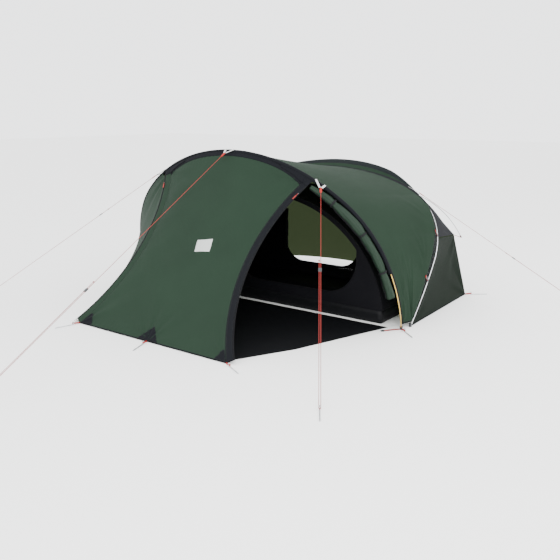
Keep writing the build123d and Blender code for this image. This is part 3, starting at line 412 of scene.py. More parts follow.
def woven(name, colour, roughness=0.6, pitch=0.0016, square=0.006, relief=0.35, vary=0.10,
          sheen=0.0, specular=0.5, alpha=1.0, painted_backlight_glow=0.0):
    """A woven finish: base colour, thread pitch, ripstop square (0 for none) and relief."""
    material = bpy.data.materials.new(name)
    material.use_nodes = True
    tree = material.node_tree
    shader = tree.nodes["Principled BSDF"]
    uv = shader_node(tree, "UVMap")
    uv.uv_map = "cloth"
    split = shader_node(tree, "SeparateXYZ", {0: uv.outputs["UV"]})
    warp = lines_mask(tree, split.outputs["X"], pitch, pitch / 2)
    weft = lines_mask(tree, split.outputs["Y"], pitch, pitch / 2)
    height = joined(tree, joined(tree, warp, weft, "MULTIPLY"), THREAD_RELIEF, "MULTIPLY")
    if square:
        grid = joined(tree, lines_mask(tree, split.outputs["X"], square, RIPSTOP_WIDTH),
                      lines_mask(tree, split.outputs["Y"], square, RIPSTOP_WIDTH), "MAXIMUM")
        height = joined(tree, height, grid, "ADD")
    place = shader_node(tree, "TexCoord").outputs["Object"]
    cloud = shader_node(tree, "TexNoise", {"Scale": 2.3, "Detail": 5.0, "Vector": place})
    grain = shader_node(tree, "TexNoise", {"Scale": 260.0, "Detail": 2.0, "Vector": place})
    tone = joined(tree, joined(tree, cloud.outputs["Fac"], 0.65, "MULTIPLY"),
                  joined(tree, grain.outputs["Fac"], 0.35, "MULTIPLY"), "ADD")
    tinted(tree, shader, colour, ranged(tree, tone, NOISE_RANGE, (1 - vary, 1 + vary)))
    embossed(tree, shader, height, relief, 0.0006)
    shader.inputs["Roughness"].default_value = roughness
    shader.inputs["Specular IOR Level"].default_value = specular
    shader.inputs["Sheen Weight"].default_value = sheen
    shader.inputs["Sheen Roughness"].default_value = 0.4
    if alpha < 1:
        shader.inputs["Alpha"].default_value = alpha
    # Emission in the cloth's own colour is painted light: it stands in for daylight shining through thin
    # cloth from behind.
    if painted_backlight_glow:
        shader.inputs["Emission Color"].default_value = (*colour, 1)
        shader.inputs["Emission Strength"].default_value = painted_backlight_glow
    return material


FRONT_GREEN = woven("front_green", (0.0104, 0.0228, 0.0135), 0.84, specular=0.12)
ROOF_GREEN = woven("roof_green", (0.0098, 0.0212, 0.0124), 0.86, specular=0.08)
# The fly green made darker for the rear wall and rear sides: painted shade for the side of the tent that
# faces away from the light.
REAR_GREEN_PAINTED_SHADE = woven("rear_green_painted_shade", (0.0056, 0.0090, 0.0060), 0.86, specular=0.08)
DOOR_GREEN = woven("door_green", (0.0098, 0.0215, 0.0127), 0.58, specular=0.15)
# The fly's olive inner face, which glows: painted light standing in for daylight shining through the thin fly
# from behind.
FLY_INSIDE_PAINTED_BACKLIGHT = woven("olive_inside_painted_backlight", (0.0320, 0.0440, 0.0210), 0.85, specular=0.1, painted_backlight_glow=1.25)
CHARCOAL = woven("charcoal_cloth", (0.0046, 0.0051, 0.0068), 0.86, square=0.0, relief=0.5, specular=0.10)
STRIP_DARK = woven("vent_strip_cloth", (0.0058, 0.0082, 0.0090), 0.85, square=0.004, specular=0.10)
NIGHT = woven("inner_cloth", (0.0030, 0.0030, 0.0044), 0.75, square=0.006, specular=0.12)
NETTING = woven("netting", (0.0048, 0.0066, 0.0066), 0.80, pitch=0.003, square=0.0, relief=0.8,
                alpha=0.85, specular=0.08)
GROUND_BLACK = woven("coated_floor_cloth", (0.0032, 0.0034, 0.0043), 0.55, square=0.005, relief=0.2,
                     specular=0.15)
WEBBING = {"roughness": 0.70, "pitch": 0.0022, "square": 0.0, "relief": 0.9}
RED_WEB = woven("red_webbing", (0.33, 0.012, 0.009), specular=0.2, **WEBBING)
WHITE_WEB = woven("white_webbing", (0.60, 0.60, 0.59), specular=0.2, **WEBBING)
DARK_WEB = woven("dark_webbing", (0.0050, 0.0053, 0.0062), specular=0.15, **WEBBING)
PRINT = woven("plain_print", (0.42, 0.44, 0.42), 0.55, square=0.006, relief=0.2)
print("woven finishes made")

# %% [markdown]
# ## What repeats
# Stitches and zip teeth repeat at a fixed pitch along a line, so one Geometry Nodes tree
# makes them all. It takes a bare line with an "up" direction at each point, walks along
# it at the given spacing and sets a small rounded piece on every step.


# %% Geometry Nodes: repeat along a line
def repeat_tree():
    tree = bpy.data.node_groups.new("repeat_along_line", "GeometryNodeTree")
    face = tree.interface
    face.new_socket("Geometry", in_out="INPUT", socket_type="NodeSocketGeometry")
    for label, value in (("Spacing", 0.008), ("Length", 0.005), ("Width", 0.0014), ("Height", 0.0008)):
        face.new_socket(label, in_out="INPUT", socket_type="NodeSocketFloat").default_value = value
    face.new_socket("Seed", in_out="INPUT", socket_type="NodeSocketInt").default_value = 3
    face.new_socket("Finish", in_out="INPUT", socket_type="NodeSocketMaterial")
    face.new_socket("Geometry", in_out="OUTPUT", socket_type="NodeSocketGeometry")
    new, link = tree.nodes.new, tree.links.new
    entry, leave = new("NodeGroupInput"), new("NodeGroupOutput")
    to_curve = new("GeometryNodeMeshToCurve")
    resample = new("GeometryNodeResampleCurve")
    resample.mode = "LENGTH"
    points = new("GeometryNodeCurveToPoints")
    points.mode = "EVALUATED"
    upward = new("GeometryNodeInputNamedAttribute")
    upward.data_type = "FLOAT_VECTOR"
    upward.inputs["Name"].default_value = "up"
    along = new("FunctionNodeAlignRotationToVector")
    along.axis = "X"
    facing = new("FunctionNodeAlignRotationToVector")
    facing.axis = "Z"
    facing.pivot_axis = "X"
    bead = new("GeometryNodeMeshIcoSphere")
    bead.inputs["Radius"].default_value = 0.5
    bead.inputs["Subdivisions"].default_value = 1
    chance = new("FunctionNodeRandomValue")
    chance.data_type = "FLOAT"
    chance.inputs[2].default_value = 0.9
    chance.inputs[3].default_value = 1.1
    longer = new("ShaderNodeMath")
    longer.operation = "MULTIPLY"
    size = new("ShaderNodeCombineXYZ")
    place = new("GeometryNodeInstanceOnPoints")
    real = new("GeometryNodeRealizeInstances")
    finish = new("GeometryNodeSetMaterial")
    link(entry.outputs["Geometry"], to_curve.inputs["Mesh"])
    link(to_curve.outputs["Curve"], resample.inputs["Curve"])
    link(entry.outputs["Spacing"], resample.inputs["Length"])
    link(resample.outputs["Curve"], points.inputs["Curve"])
    link(points.outputs["Tangent"], along.inputs["Vector"])
    link(along.outputs["Rotation"], facing.inputs["Rotation"])
    link(upward.outputs["Attribute"], facing.inputs["Vector"])
    link(entry.outputs["Length"], longer.inputs[0])
    link(entry.outputs["Seed"], chance.inputs["Seed"])
    link(chance.outputs[1], longer.inputs[1])
    link(longer.outputs[0], size.inputs["X"])
    link(entry.outputs["Width"], size.inputs["Y"])
    link(entry.outputs["Height"], size.inputs["Z"])
    link(points.outputs["Points"], place.inputs["Points"])
    link(bead.outputs["Mesh"], place.inputs["Instance"])
    link(facing.outputs["Rotation"], place.inputs["Rotation"])
    link(size.outputs["Vector"], place.inputs["Scale"])
    link(place.outputs["Instances"], real.inputs["Geometry"])
    link(real.outputs["Geometry"], finish.inputs["Geometry"])
    link(entry.outputs["Finish"], finish.inputs["Material"])
    link(finish.outputs["Geometry"], leave.inputs["Geometry"])
    return tree


REPEAT = repeat_tree()
SOCKETS = {item.name: item.identifier for item in REPEAT.interface.items_tree if item.in_out == "INPUT"}


def repeated(name, lines, material, spacing=0.008, length=0.0052, width=0.0014, height=0.0010, seed=3):
    """One plain mesh of small beads along many lines. Each line is (points, ups)."""
    verts, edges, ups = [], [], []
    for points, up in lines:
        base = len(verts)
        verts += [tuple(p) for p in points]
        ups += [tuple(u) for u in up]
        edges += [(base + k, base + k + 1) for k in range(len(points) - 1)]
    mesh = bpy.data.meshes.new(name + "_line")
    mesh.from_pydata(verts, edges, [])
    mesh.attributes.new("up", "FLOAT_VECTOR", "POINT").data.foreach_set("vector", np.ravel(ups))
    guide = add_object(name + "_line", mesh)
    nodes = guide.modifiers.new("repeat", "NODES")
    nodes.node_group = REPEAT
    inputs = {"Spacing": spacing, "Length": length, "Width": width, "Height": height,
              "Seed": seed, "Finish": material}
    for label, value in inputs.items():
        nodes[SOCKETS[label]] = value
    bpy.context.view_layer.update()
    made = bpy.data.meshes.new_from_object(guide.evaluated_get(bpy.context.evaluated_depsgraph_get()))
    made.name = name
    bpy.data.objects.remove(guide)
    bpy.data.meshes.remove(mesh)
    piece = add_object(name, made)
    print(name, "has", len(made.polygons) // 20, "beads")
    return piece


def seam_line(rows, edge, inset, lift=0.0009):
    """A line on a panel at a distance in from one edge, with the cloth's facing."""
    normal = grid_normals(rows)
    if edge in ("left", "right"):
        rows, normal = rows.transpose(1, 0, 2), normal.transpose(1, 0, 2)
        edge = {"left": "top", "right": "bottom"}[edge]
    if edge == "bottom":
        rows, normal = rows[::-1], normal[::-1]
    line = []
    for i in range(rows.shape[1]):
        column = rows[:, i]
        run = np.concatenate([[0], np.cumsum(np.linalg.norm(np.diff(column, axis=0), axis=1))])
        line.append([np.interp(inset, run, column[:, c]) for c in range(3)])
    up = normal[1]
    return np.array(line) + up * lift, up


def outward_side(rows):
    """The grid turned so that its normals face away from the tent's middle."""
    return rows if (grid_normals(rows) * (rows - CENTRE)).sum() > 0 else rows[:, ::-1]


CENTRE = np.array([0.0, 0.0, 0.35]) + SHIFT
SEAMS = []
print("repeat tree has inputs", sorted(SOCKETS))

# %% [markdown]
# ## Doors' edges
# Each side of the front panel is one arc of a circle. The zip runs on it, so its slider
# turns about that circle's centre. Everything at the edge is drawn from this one arc.

# %% The edge circle
EDGE_SAG = 0.255
BAND_W = 0.062
HEM_Z = 0.004
EDGE_TOP_Y = 0.858              # the door edge meets the hoop this far from the middle
edge_top = front.at(front.s_at_y(-EDGE_TOP_Y), 0.0, -(SLEEVE_R + 0.0005))
edge_foot = np.array([-1.532, -0.935, HEM_Z]) + SHIFT
edge_chord = edge_foot - edge_top
edge_length = np.linalg.norm(edge_chord)
edge_r = (edge_length**2 / 4 + EDGE_SAG**2) / (2 * EDGE_SAG)
edge_down = unit(edge_chord)
edge_out = unit(np.array([0, -1, 0]) + edge_down[1] * edge_down)
edge_normal = unit(np.cross(edge_down, edge_out))
edge_centre = (edge_top + edge_foot) / 2 + edge_out * (edge_r - EDGE_SAG)
edge_half = math.atan2(edge_length / 2, edge_r - EDGE_SAG)


def edge_at(v, outward=0.0, lift=0.0):
    """A point of the left door edge, 0 at the hoop and 1 at the ground."""
    angle = (2 * v - 1) * edge_half
    radial = -math.cos(angle) * edge_out + math.sin(angle) * edge_down
    return edge_centre + (edge_r + outward) * radial + lift * edge_normal


def edge_foot_v(height, outward):
    low, high = 0.5, 1.0
    for _ in range(40):
        middle = (low + high) / 2
        low, high = (middle, high) if edge_at(middle, outward)[2] > height else (low, middle)
    return low


BAND_TOP = 0.03
BAND_FOOT = edge_foot_v(HEM_Z, BAND_W)
print("edge radius", round(float(edge_r), 3), "m, centre", edge_centre.round(4))

# %% [markdown]
# ## Front panel
# The big green panel slopes from the front pole to the ground. It is pulled by three
# pegs and by the pole, so folds fan out from its corners and from the middle peg. A
# plane could be pulled to shape by simulation, but its edges would wander. Here the four
# sewn edges are drawn first and the cloth is filled in between, so neighbours meet.

# %% Front panel
FRONT_SEAM = SLEEVE_R - 0.002
NU, NV = 150, 110
panel_out = BAND_W - 0.003
panel_foot_v = edge_foot_v(HEM_Z, panel_out)
share = np.linspace(0, 1, NV)
panel_left = np.array([edge_at(BAND_TOP + (panel_foot_v - BAND_TOP) * v, panel_out) for v in share])
across = np.linspace(0, 1, NU)
panel_top = []
for k in across:
    y = panel_left[0][1] * (1 - 2 * k)
    x, _, z = front.at(front.s_at_y(-abs(y)), 0.0, -FRONT_SEAM)
    panel_top.append((x, y, z))
panel_top = np.array(panel_top)
panel_top += (panel_left[0] - panel_top[0])[None] * (np.abs(1 - 2 * across) ** 6)[:, None] * [1, 0, 1]
hem_corner = panel_left[-1]
hem = np.array([(hem_corner[0], hem_corner[1] * (1 - 2 * k), hem_corner[2]) for k in across])
front_rows = fill(panel_top, hem, panel_left, flipped(panel_left), (0.030, 0.0, -0.020))
hem_middle = np.array([hem_corner[0], 0, HEM_Z])
front_rows = slack(front_rows, 1.5, 0.010, 4.0)
for corner_point, count, reach, depth in (
    (hem_corner, 11, 0.55, 0.0045), (flipped(hem_corner), 11, 0.55, 0.0045),
    (hem_middle, 12, 0.34, 0.0040), (panel_left[0], 9, 0.45, 0.0045),
    (flipped(panel_left[0]), 9, 0.45, 0.0045),
):
    front_rows = fan(front_rows, corner_point, count, reach, depth, turn=corner_point[1])
front_rows = creases(front_rows, 3.2, 7.5, 0.0042, 1.0)
front_rows = creases(front_rows, -2.1, 6.0, 0.0022, 5.0)
front_rows = pucker(front_rows, "top", 0.050, 0.0022, 0.07)
front_rows = pucker(front_rows, "left", 0.042, 0.0018, 0.05)
front_rows = pucker(front_rows, "right", 0.042, 0.0018, 0.05)
front_rows = outward_side(pucker(front_rows, "bottom", 0.060, 0.0018, 0.05))
front_panel = cloth("front_panel_cloth", front_rows, FRONT_GREEN, inside=FLY_INSIDE_PAINTED_BACKLIGHT, outward=CENTRE)
declare_sheet(front_panel, 1.95, 2.10, "stretched", ["front_sleeve"], ["front_panel"], "front_fabric")
for edge in ("top", "left", "right"):
    SEAMS += [seam_line(front_rows, edge, 0.009), seam_line(front_rows, edge, 0.015)]


# %% Edging tape on a hem
def hem_tape(name, rows, edge, width, lift=0.0012):
    """A charcoal tape sewn over the edge of a panel."""
    lines = [seam_line(rows, edge, w, lift)[0] for w in np.linspace(0.0, width, 4)]
    tape = cloth(name, np.array(lines), CHARCOAL, 0.0012, outward=CENTRE)
    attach(tape, "tent")


FACING_LIFT = 0.0014            # a facing lies over the tapes
hem_tape("front_hem_tape", front_rows, "bottom", 0.011)
hem_tape("front_sleeve_facing", front_rows, "top", 0.040, FACING_LIFT)
print("front hem taped and its sleeve faced")

# %% Gussets between the sleeve and the door bands
GUSSET_Y = (-0.866, -0.560)     # its outer and inner ends, from the middle
GUSSET_LIFT = 0.0026            # it lies on the band and the panel
GUSSET_LAP = 0.012              # how far it laps over the panel
corner_y = np.linspace(*GUSSET_Y, 40)
near_hoop = np.array([front.at(front.s_at_y(y), 0.0, -(SLEEVE_R - 0.004)) for y in corner_y])
band_end = np.array([edge_at(BAND_TOP + 0.006, r, GUSSET_LIFT) for r in np.linspace(-0.010, BAND_W, 8)])
left_top = panel_top + edge_normal * GUSSET_LIFT
along_top = left_top[left_top[:, 1] < GUSSET_Y[1]]
lower = np.vstack([band_end, along_top + [-GUSSET_LAP, 0, -GUSSET_LAP]])
run = np.concatenate([[0], np.cumsum(np.linalg.norm(np.diff(lower, axis=0), axis=1))])
at = np.linspace(0, run[-1], 40)
lower = np.stack([np.interp(at, run, lower[:, c]) for c in range(3)], axis=1)
gusset_rows = np.array([mix(near_hoop, lower, k) for k in np.linspace(0, 1, 10)])
for side, rows in (("left", gusset_rows), ("right", flipped(gusset_rows)[:, ::-1])):
    gusset = cloth(f"corner_gusset_{side}", rows, CHARCOAL, 0.0014, outward=CENTRE)
    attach(gusset, "tent")


# %% [markdown]
# Dark patches reinforce the hem where the pegs pull, and a plain printed patch sits on
# the upper part of the panel. They lie on the panel, so their points are read off its
# grid and lifted by a thread's thickness.


# %% Patches on the front panel
def on_cloth(rows, u, v, lift=0.0):
    """The point at shares u across and v down a panel, lifted off it."""
    normal = grid_normals(rows)
    i, j = u * (rows.shape[1] - 1), v * (rows.shape[0] - 1)
    i0, j0 = int(min(i, rows.shape[1] - 2)), int(min(j, rows.shape[0] - 2))
    a, b = i - i0, j - j0
    near, far = (row[i0] * (1 - a) + row[i0 + 1] * a for row in (rows[j0], rows[j0 + 1]))
    return near * (1 - b) + far * b + normal[j0, i0] * lift


from_left = front_rows[0, 0, 1] < front_rows[0, -1, 1]      # which way the panel's columns run


def patch_on(name, outline, material, count=14, lift=0.0016):
    """A four-sided patch. Each corner is a share from the panel's left side and down it."""
    a, b, c, d = ((u if from_left else 1 - u, v) for u, v in outline)
    grid = []
    for t in np.linspace(0, 1, count):
        left, right = mix(a, d, t), mix(b, c, t)
        grid.append([on_cloth(front_rows, *mix(left, right, s), lift) for s in np.linspace(0, 1, count)])
    grid = np.array(grid)
    piece = cloth(name, grid, material, 0.0008, outward=CENTRE)
    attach(piece, "tent")
    SEAMS.extend(seam_line(grid, e, 0.005, 0.0008) for e in ("top", "bottom", "left", "right"))
    return piece


HEM_PATCHES = {
    "left": ((0.006, 0.935), (0.016, 0.935), (0.075, 0.995), (0.003, 0.995)),
    "middle": ((0.492, 0.918), (0.500, 0.918), (0.568, 0.994), (0.432, 0.994)),
    "right": ((0.975, 0.925), (0.994, 0.925), (0.997, 0.995), (0.910, 0.995)),
}
PRINT_CORNERS = ((0.463, 0.470), (0.325, 0.450), (0.312, 0.512), (0.442, 0.528))
for where, corners in HEM_PATCHES.items():
    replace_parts(patch_on(f"hem_patch_{where}", corners, CHARCOAL), "hem_patches")
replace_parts(patch_on("plain_print_patch", PRINT_CORNERS, PRINT), "plain_label")
print(len(HEM_PATCHES), "hem patches and one plain printed patch")

# %% [markdown]
# ## Bands and zips
# A band stiffens each door edge: charcoal on the left, and green on the right. Inside it
# runs the zip: a narrow tape and a raised coil, made of small teeth by the repeat tree. A
# bump pattern could suggest the teeth, but wouldn't catch light from the side.


# %% Bands and zips
def two_sides(rows_left):
    return {"left": rows_left, "right": flipped(rows_left)[:, ::-1]}


def edge_grid(r0, r1, columns, top=BAND_TOP, foot=None, lift=0.0012, rows=120):
    foot = BAND_FOOT if foot is None else foot
    across, down = np.linspace(r0, r1, columns), np.linspace(top, foot, rows)
    return np.array([[edge_at(v, r, lift) for r in across] for v in down])


for side, rows in two_sides(edge_grid(0.0, BAND_W, 9)).items():
    wavy = pucker(pucker(rows, "left", 0.05, 0.0008, 0.03), "right", 0.05, 0.0008, 0.03)
    finish = {"left": CHARCOAL, "right": FRONT_GREEN}[side]
    band = cloth(f"door_band_{side}_cloth", wavy, finish, 0.0020, outward=CENTRE)
    declare_sheet(band, BAND_W, 1.70, "stretched", ["front_panel_cloth"], [f"door_band_{side}"],
                  "dark_fabric")
    for inset in (0.005, BAND_W - 0.005, BAND_W - 0.011):
        SEAMS.append(seam_line(outward_side(wavy), "left", inset, 0.0012))
for side, rows in two_sides(edge_grid(-0.013, 0.001, 5, lift=0.0010)).items():
    tape = cloth(f"zip_tape_{side}", rows, DARK_WEB, 0.0016, outward=CENTRE)
    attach(tape, "tent")
    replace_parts(tape, f"door_zip_{side}")
    line = np.array([edge_at(v, -0.006, 0.0028) for v in np.linspace(BAND_TOP, BAND_FOOT, 200)])
    up = np.repeat(edge_normal[None], 200, axis=0)
    if side == "right":
        line, up = flipped(line), flipped(up)
    coil = repeated(f"zip_teeth_{side}", [(line, up)], CHARCOAL, 0.0026, 0.0021, 0.0052, 0.0030)
    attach(coil, "tent")

# %% [markdown]
# ## Pole sleeves
# The poles slide through round sleeves. Sewn along a curve, a sleeve gathers on its
# inside, so its tube gets fine crosswise ripples that come and go. A bevelled curve is
# quicker but perfectly round, so the tube is drawn ring by ring.


# %% Sleeves
def tube_side(rows):
    """A tube's rings, turned so that it faces away from its own middle."""
    middle = rows.mean(axis=1, keepdims=True)
    return rows[:, ::-1] if (grid_normals(rows) * (rows - middle)).sum() < 0 else rows


def sleeve(which, hoop, s0, length):
    """The tube of cloth round a pole, from s0 to as far from its other foot."""
    rows = []
    for s in np.linspace(s0, hoop.length - s0, 420):
        ahead = hoop.at(s)
        inward = unit(hoop.at(s, 0.01) - ahead)
        back = hoop.back
        ring = []
        for angle in np.linspace(0, 2 * math.pi, 25)[:-1]:
            gather = 0.0009 * math.sin(2 * math.pi * s / 0.021 + 1.3 * math.sin(s * 11) + angle)
            gather *= 0.55 + 0.45 * math.sin(s * 7 + 2 * angle)
            sag = 0.0012 * noise.noise(Vector((s * 14, math.cos(angle) * 2, math.sin(angle) * 2)))
            radius = SLEEVE_R - 0.0008 + gather + sag
            ring.append(ahead + radius * (math.cos(angle) * inward + math.sin(angle) * back))
        rows.append(ring)
    piece = cloth(f"{which}_sleeve_cloth", tube_side(np.array(rows)), CHARCOAL, 0.0010, closed=True)
    declare_sheet(piece, 0.107, length, "gathered", [f"{which}_pole"], [f"{which}_sleeve"], "dark_fabric")


front_s0 = front.s_at_z(0.520)
REAR_SLEEVE_Y = 1.150           # the rear sleeve's ends, out from the middle
rear_s0 = rear.s_at_y(-REAR_SLEEVE_Y)
sleeve("front", front, front_s0, 3.9)
sleeve("rear", rear, rear_s0, 2.6)

# %% [markdown]
# ## Roof and the net beside the bare pole
# One panel spans between the two hoops. Where the rear pole runs bare, the panel is cut
# back in a curve and dark netting fills the gap. Clips pull it out to the pole, and each
# clip sends a few folds into the cloth. One grid for the whole roof keeps the curve
# unbroken over the top, which a left and a right half would not.

# %% Roof
LEG_START = 0.045               # the panels begin this far up each pole
CLIP_SHARES = (0.30, 0.62)      # the clips' places along a bare leg
CLIP_OFF = 0.013                # half a clip's length
FACING_FROM, FACING_SPAN = 0.24, 0.52      # the rear facing's start and length, as shares of the roof


def rear_inset(s):
    """How far in from the rear pole the roof's edge lies."""
    s = min(s, rear.length - s)
    share = min(max(s / rear_s0, 0.0), 1.0)
    free = SLEEVE_R - 0.002 + 0.094 * math.sin(math.pi * share**1.7)
    tied = SLEEVE_R - 0.002 + 0.060 * math.sin(math.pi * share)
    held = sum(math.exp(-(((share - clip) * rear_s0 - CLIP_OFF) / 0.045) ** 2) for clip in CLIP_SHARES)
    return free + (tied - free) * min(held, 1.0)


roof_s = np.linspace(0, 1, 200)
front_places, rear_places = (LEG_START + (hoop.length - 2 * LEG_START) * roof_s for hoop in (front, rear))
roof_front = np.array([front.at(s, 0.0, FRONT_SEAM) for s in front_places])
roof_rear = np.array([rear.at(s, 0.0, -rear_inset(s)) for s in rear_places])
ramp = np.linspace(0, 1, 64)[:, None]
roof_legs = [roof_front[end] * (1 - ramp) + roof_rear[end] * ramp for end in (0, -1)]
roof_rows = fill(roof_front, roof_rear, *roof_legs, (0, 0, -0.022))
roof_rows = slack(roof_rows, 1.8, 0.008, 9.0)
for s in [rear_s0 * clip for clip in CLIP_SHARES]:
    for at_clip in (s + CLIP_OFF, rear.length - s - CLIP_OFF):
        roof_rows = fan(roof_rows, rear.at(at_clip, 0, -rear_inset(s)), 9, 0.30, 0.0055, turn=s)
for place in (roof_front[0], roof_front[-1], roof_rear[0], roof_rear[-1]):
    roof_rows = fan(roof_rows, place, 8, 0.40, 0.006, turn=place[0])
roof_rows = pucker(roof_rows, "top", 0.055, 0.0022, 0.08, 2.0)
roof_rows = pucker(roof_rows, "bottom", 0.050, 0.0022, 0.08, 3.0)
roof_rows = outward_side(roof_rows)
roof = cloth("roof_cloth", roof_rows, ROOF_GREEN, inside=FLY_INSIDE_PAINTED_BACKLIGHT, outward=CENTRE)
declare_sheet(roof, 4.6, 1.80, "stretched", ["front_sleeve", "rear_sleeve"], ["roof_panel"], "roof_fabric")
for edge in ("top", "bottom"):
    SEAMS += [seam_line(roof_rows, edge, 0.010), seam_line(roof_rows, edge, 0.016)]
hem_tape("roof_sleeve_facing", roof_rows, "top", 0.016, FACING_LIFT)
facing_rows = roof_rows[:, roof_s > FACING_FROM][:, : int(len(roof_s) * FACING_SPAN)]
hem_tape("rear_sleeve_facing", facing_rows, "bottom", 0.026, FACING_LIFT)
hem_tape("roof_leg_tape_a", roof_rows, "left", 0.010)
hem_tape("roof_leg_tape_b", roof_rows, "right", 0.010)

# %% Netting beside the rear pole
mesh_s = np.linspace(LEG_START + 0.040, rear_s0 - 0.040, 60)


def net_back(s, k):
    """From just clear of the pole, k = 0, to just past the roof's edge, k = 1."""
    return -(REAR_POLE_R + 0.0038) * (1 - k) - (rear_inset(s) + 0.001) * k


net_rows = [[rear.at(s, 0.0, net_back(s, k)) for s in mesh_s] for k in np.linspace(0, 1, 9)]
for side, rows in two_sides(np.array(net_rows)).items():
    net = cloth(f"side_net_{side}", rows, NETTING, 0.0008, outward=CENTRE)
    declare_sheet(net, 1.20, 0.10, "stretched", ["roof_cloth"], [f"side_mesh_{side}"], "mesh")
    hem_tape(f"net_edge_{side}", outward_side(rows), "top", 0.008)

# %% [markdown]
# ## Behind the rear pole
# A green strip and then a dark vent strip reach back from the rear sleeve like a shallow
# eave. The rear wall hangs from it and is pegged at its two corners only, so its hem
# arches up in between and lets air in.

# %% Eave strips
strip_start = rear_s0 + 0.030


def eave(s, share, back=0.0):
    x, y, z = rear.at(s)
    middle = max(0.0, 1 - (y / REAR_SLEEVE_Y) ** 2)
    start = rear.at(s, 0.0, SLEEVE_R - 0.001)
    reach = 0.026 + 0.250 * middle
    rise = 0.045 * middle + 0.3 * (start[2] - z)
    billow = 0.056 * min(1.0, 1.6 * middle) * math.sin(math.pi * share**2.0)
    return start + share * np.array([reach, 0.0, rise]) + np.array([back, 0.0, billow])


eave_s = np.linspace(strip_start, rear.length - strip_start, 150)
for name, a, b, finish, inside, slot, node in (
    ("rear_strip_cloth", 0.0, 0.425, ROOF_GREEN, FLY_INSIDE_PAINTED_BACKLIGHT, "roof_fabric", "rear_strip"),
    ("vent_strip_cloth", 0.42, 1.0, STRIP_DARK, CHARCOAL, "dark_fabric", "rear_vent_strip"),
):
    rows = np.array([[eave(s, k) for s in eave_s] for k in np.linspace(a, b, 20)])
    rows = pucker(slack(rows, 2.5, 0.003, 2.0), "top", 0.05, 0.0016, 0.04)
    rows = outward_side(pucker(rows, "bottom", 0.05, 0.0016, 0.04, 4.0))
    piece = cloth(name, rows, finish, 0.0014, inside=inside, outward=CENTRE)
    declare_sheet(piece, 2.65, 0.20, "stretched", ["rear_sleeve"], [node], slot)
    for edge in ("top", "bottom"):
        SEAMS.append(seam_line(rows, edge, 0.006))
    if node == "rear_strip":
        hem_tape("rear_strip_facing", rows, "top", 0.050, FACING_LIFT)

# %% Rear wall
CORNER = np.array([1.450, -1.585, HEM_Z]) + SHIFT
TIP = np.array([1.510, -1.400, 0.600]) + SHIFT
HEM_BACK, HEM_RISE = 0.200, 0.130
wall_top = np.array([eave(s, 1.0) for s in eave_s]) - [0, 0, 0.001]
k = np.linspace(0, 1, len(eave_s))
bow = 1 - (2 * k - 1) ** 2
wall_hem = np.stack([CORNER[0] + HEM_BACK * bow, CORNER[1] * (1 - 2 * k), HEM_Z + HEM_RISE * bow], axis=1)
RIDGE = 0.45                    # the hood tip's share of the way down the wall's side
wall_v = np.linspace(0, 1, 90)
upper_side = [mix(wall_top[0], TIP, v / RIDGE) for v in wall_v if v <= RIDGE]
lower_side = [mix(TIP, CORNER, (v - RIDGE) / (1 - RIDGE)) for v in wall_v if v > RIDGE]
wall_left = np.array(upper_side + lower_side)
wall_rows = wall_top[None] * (1 - wall_v)[:, None, None] + wall_hem[None] * wall_v[:, None, None]
pull = wall_left - (wall_top[0][None] * (1 - wall_v)[:, None] + CORNER[None] * wall_v[:, None])
wall_rows += pull[:, None] * ((1 - k) ** 4)[None, :, None] + flipped(pull)[:, None] * (k**4)[None, :, None]
wall_sag = 16 * (k * (1 - k))[None, :] * (wall_v * (1 - wall_v))[:, None]
wall_rows += wall_sag[..., None] * np.array([-0.030, 0, 0])
wall_rows = slack(wall_rows, 1.5, 0.010, 6.0)
for pulled, count, reach, depth in ((TIP, 10, 0.75, 0.011), (CORNER, 9, 0.6, 0.009)):
    for place in (pulled, flipped(pulled)):
        wall_rows = fan(wall_rows, place, count, reach, depth, turn=place[1])
wall_rows = outward_side(pucker(wall_rows, "top", 0.06, 0.002, 0.06))
# The rear wall's darker green is painted shade.
rear_wall = cloth("rear_wall_cloth", wall_rows, REAR_GREEN_PAINTED_SHADE, inside=FLY_INSIDE_PAINTED_BACKLIGHT, outward=CENTRE)
declare_sheet(rear_wall, 3.2, 1.35, "stretched", ["vent_strip_cloth"], ["rear_wall"], "rear_fabric")
hem_tape("rear_hem_tape", wall_rows, "bottom", 0.011)
SEAMS += [seam_line(wall_rows, "top", 0.008), seam_line(wall_rows, "bottom", 0.009)]

# %% [markdown]
# Each rear side wall fills the triangle between the pole's leg, the ground and the
# ridge up to the hood's tip. The vent hood closes the side above it like an awning,
# held out by a bowed strut.

# %% Rear sides and hoods
LEG_BACK = REAR_POLE_R + 0.0035
HOOD_ROOT_Z = 0.690             # where the hood meets the pole


def between(start, end, count):
    """Evenly spaced points of a straight edge."""
    return np.array([mix(start, end, t) for t in np.linspace(0, 1, count)])


root_s = rear.s_at_z(HOOD_ROOT_Z)
leg_s = LEG_START + (root_s - LEG_START) * np.linspace(0, 1, 60)
leg_line = np.array([rear.at(s, 0.0, LEG_BACK) for s in leg_s])
side_ridge = between(CORNER, TIP, 60) + [-0.001, -0.001, 0]
leg_line[0, 2] = HEM_Z
ground, head = (between(leg_line[end], side_ridge[end], 60) for end in (0, -1))
side_rows = fill(ground, head, leg_line, side_ridge, (0, 0.030, 0))
for place, count in ((TIP, 9), (CORNER, 8), (leg_line[0], 8)):
    side_rows = fan(side_rows, place, count, 0.5, 0.006, turn=place[2])
hood_v = np.linspace(0, 1, 50)
hood_leg = np.array([rear.at(s, 0.0, LEG_BACK) for s in root_s + 0.010 + (rear_s0 - root_s - 0.024) * hood_v])
hood_out = np.array([mix(TIP, wall_top[0], v * 0.9) for v in hood_v]) + [-0.006, -0.003, 0.006]
hood_low, hood_high = (between(hood_leg[end], hood_out[end], 50) for end in (0, -1))
hood_rows = fill(hood_low, hood_high, hood_leg, hood_out, (0, -0.018, 0.012))
hood_rows = fan(hood_rows, TIP, 10, 0.3, 0.005)
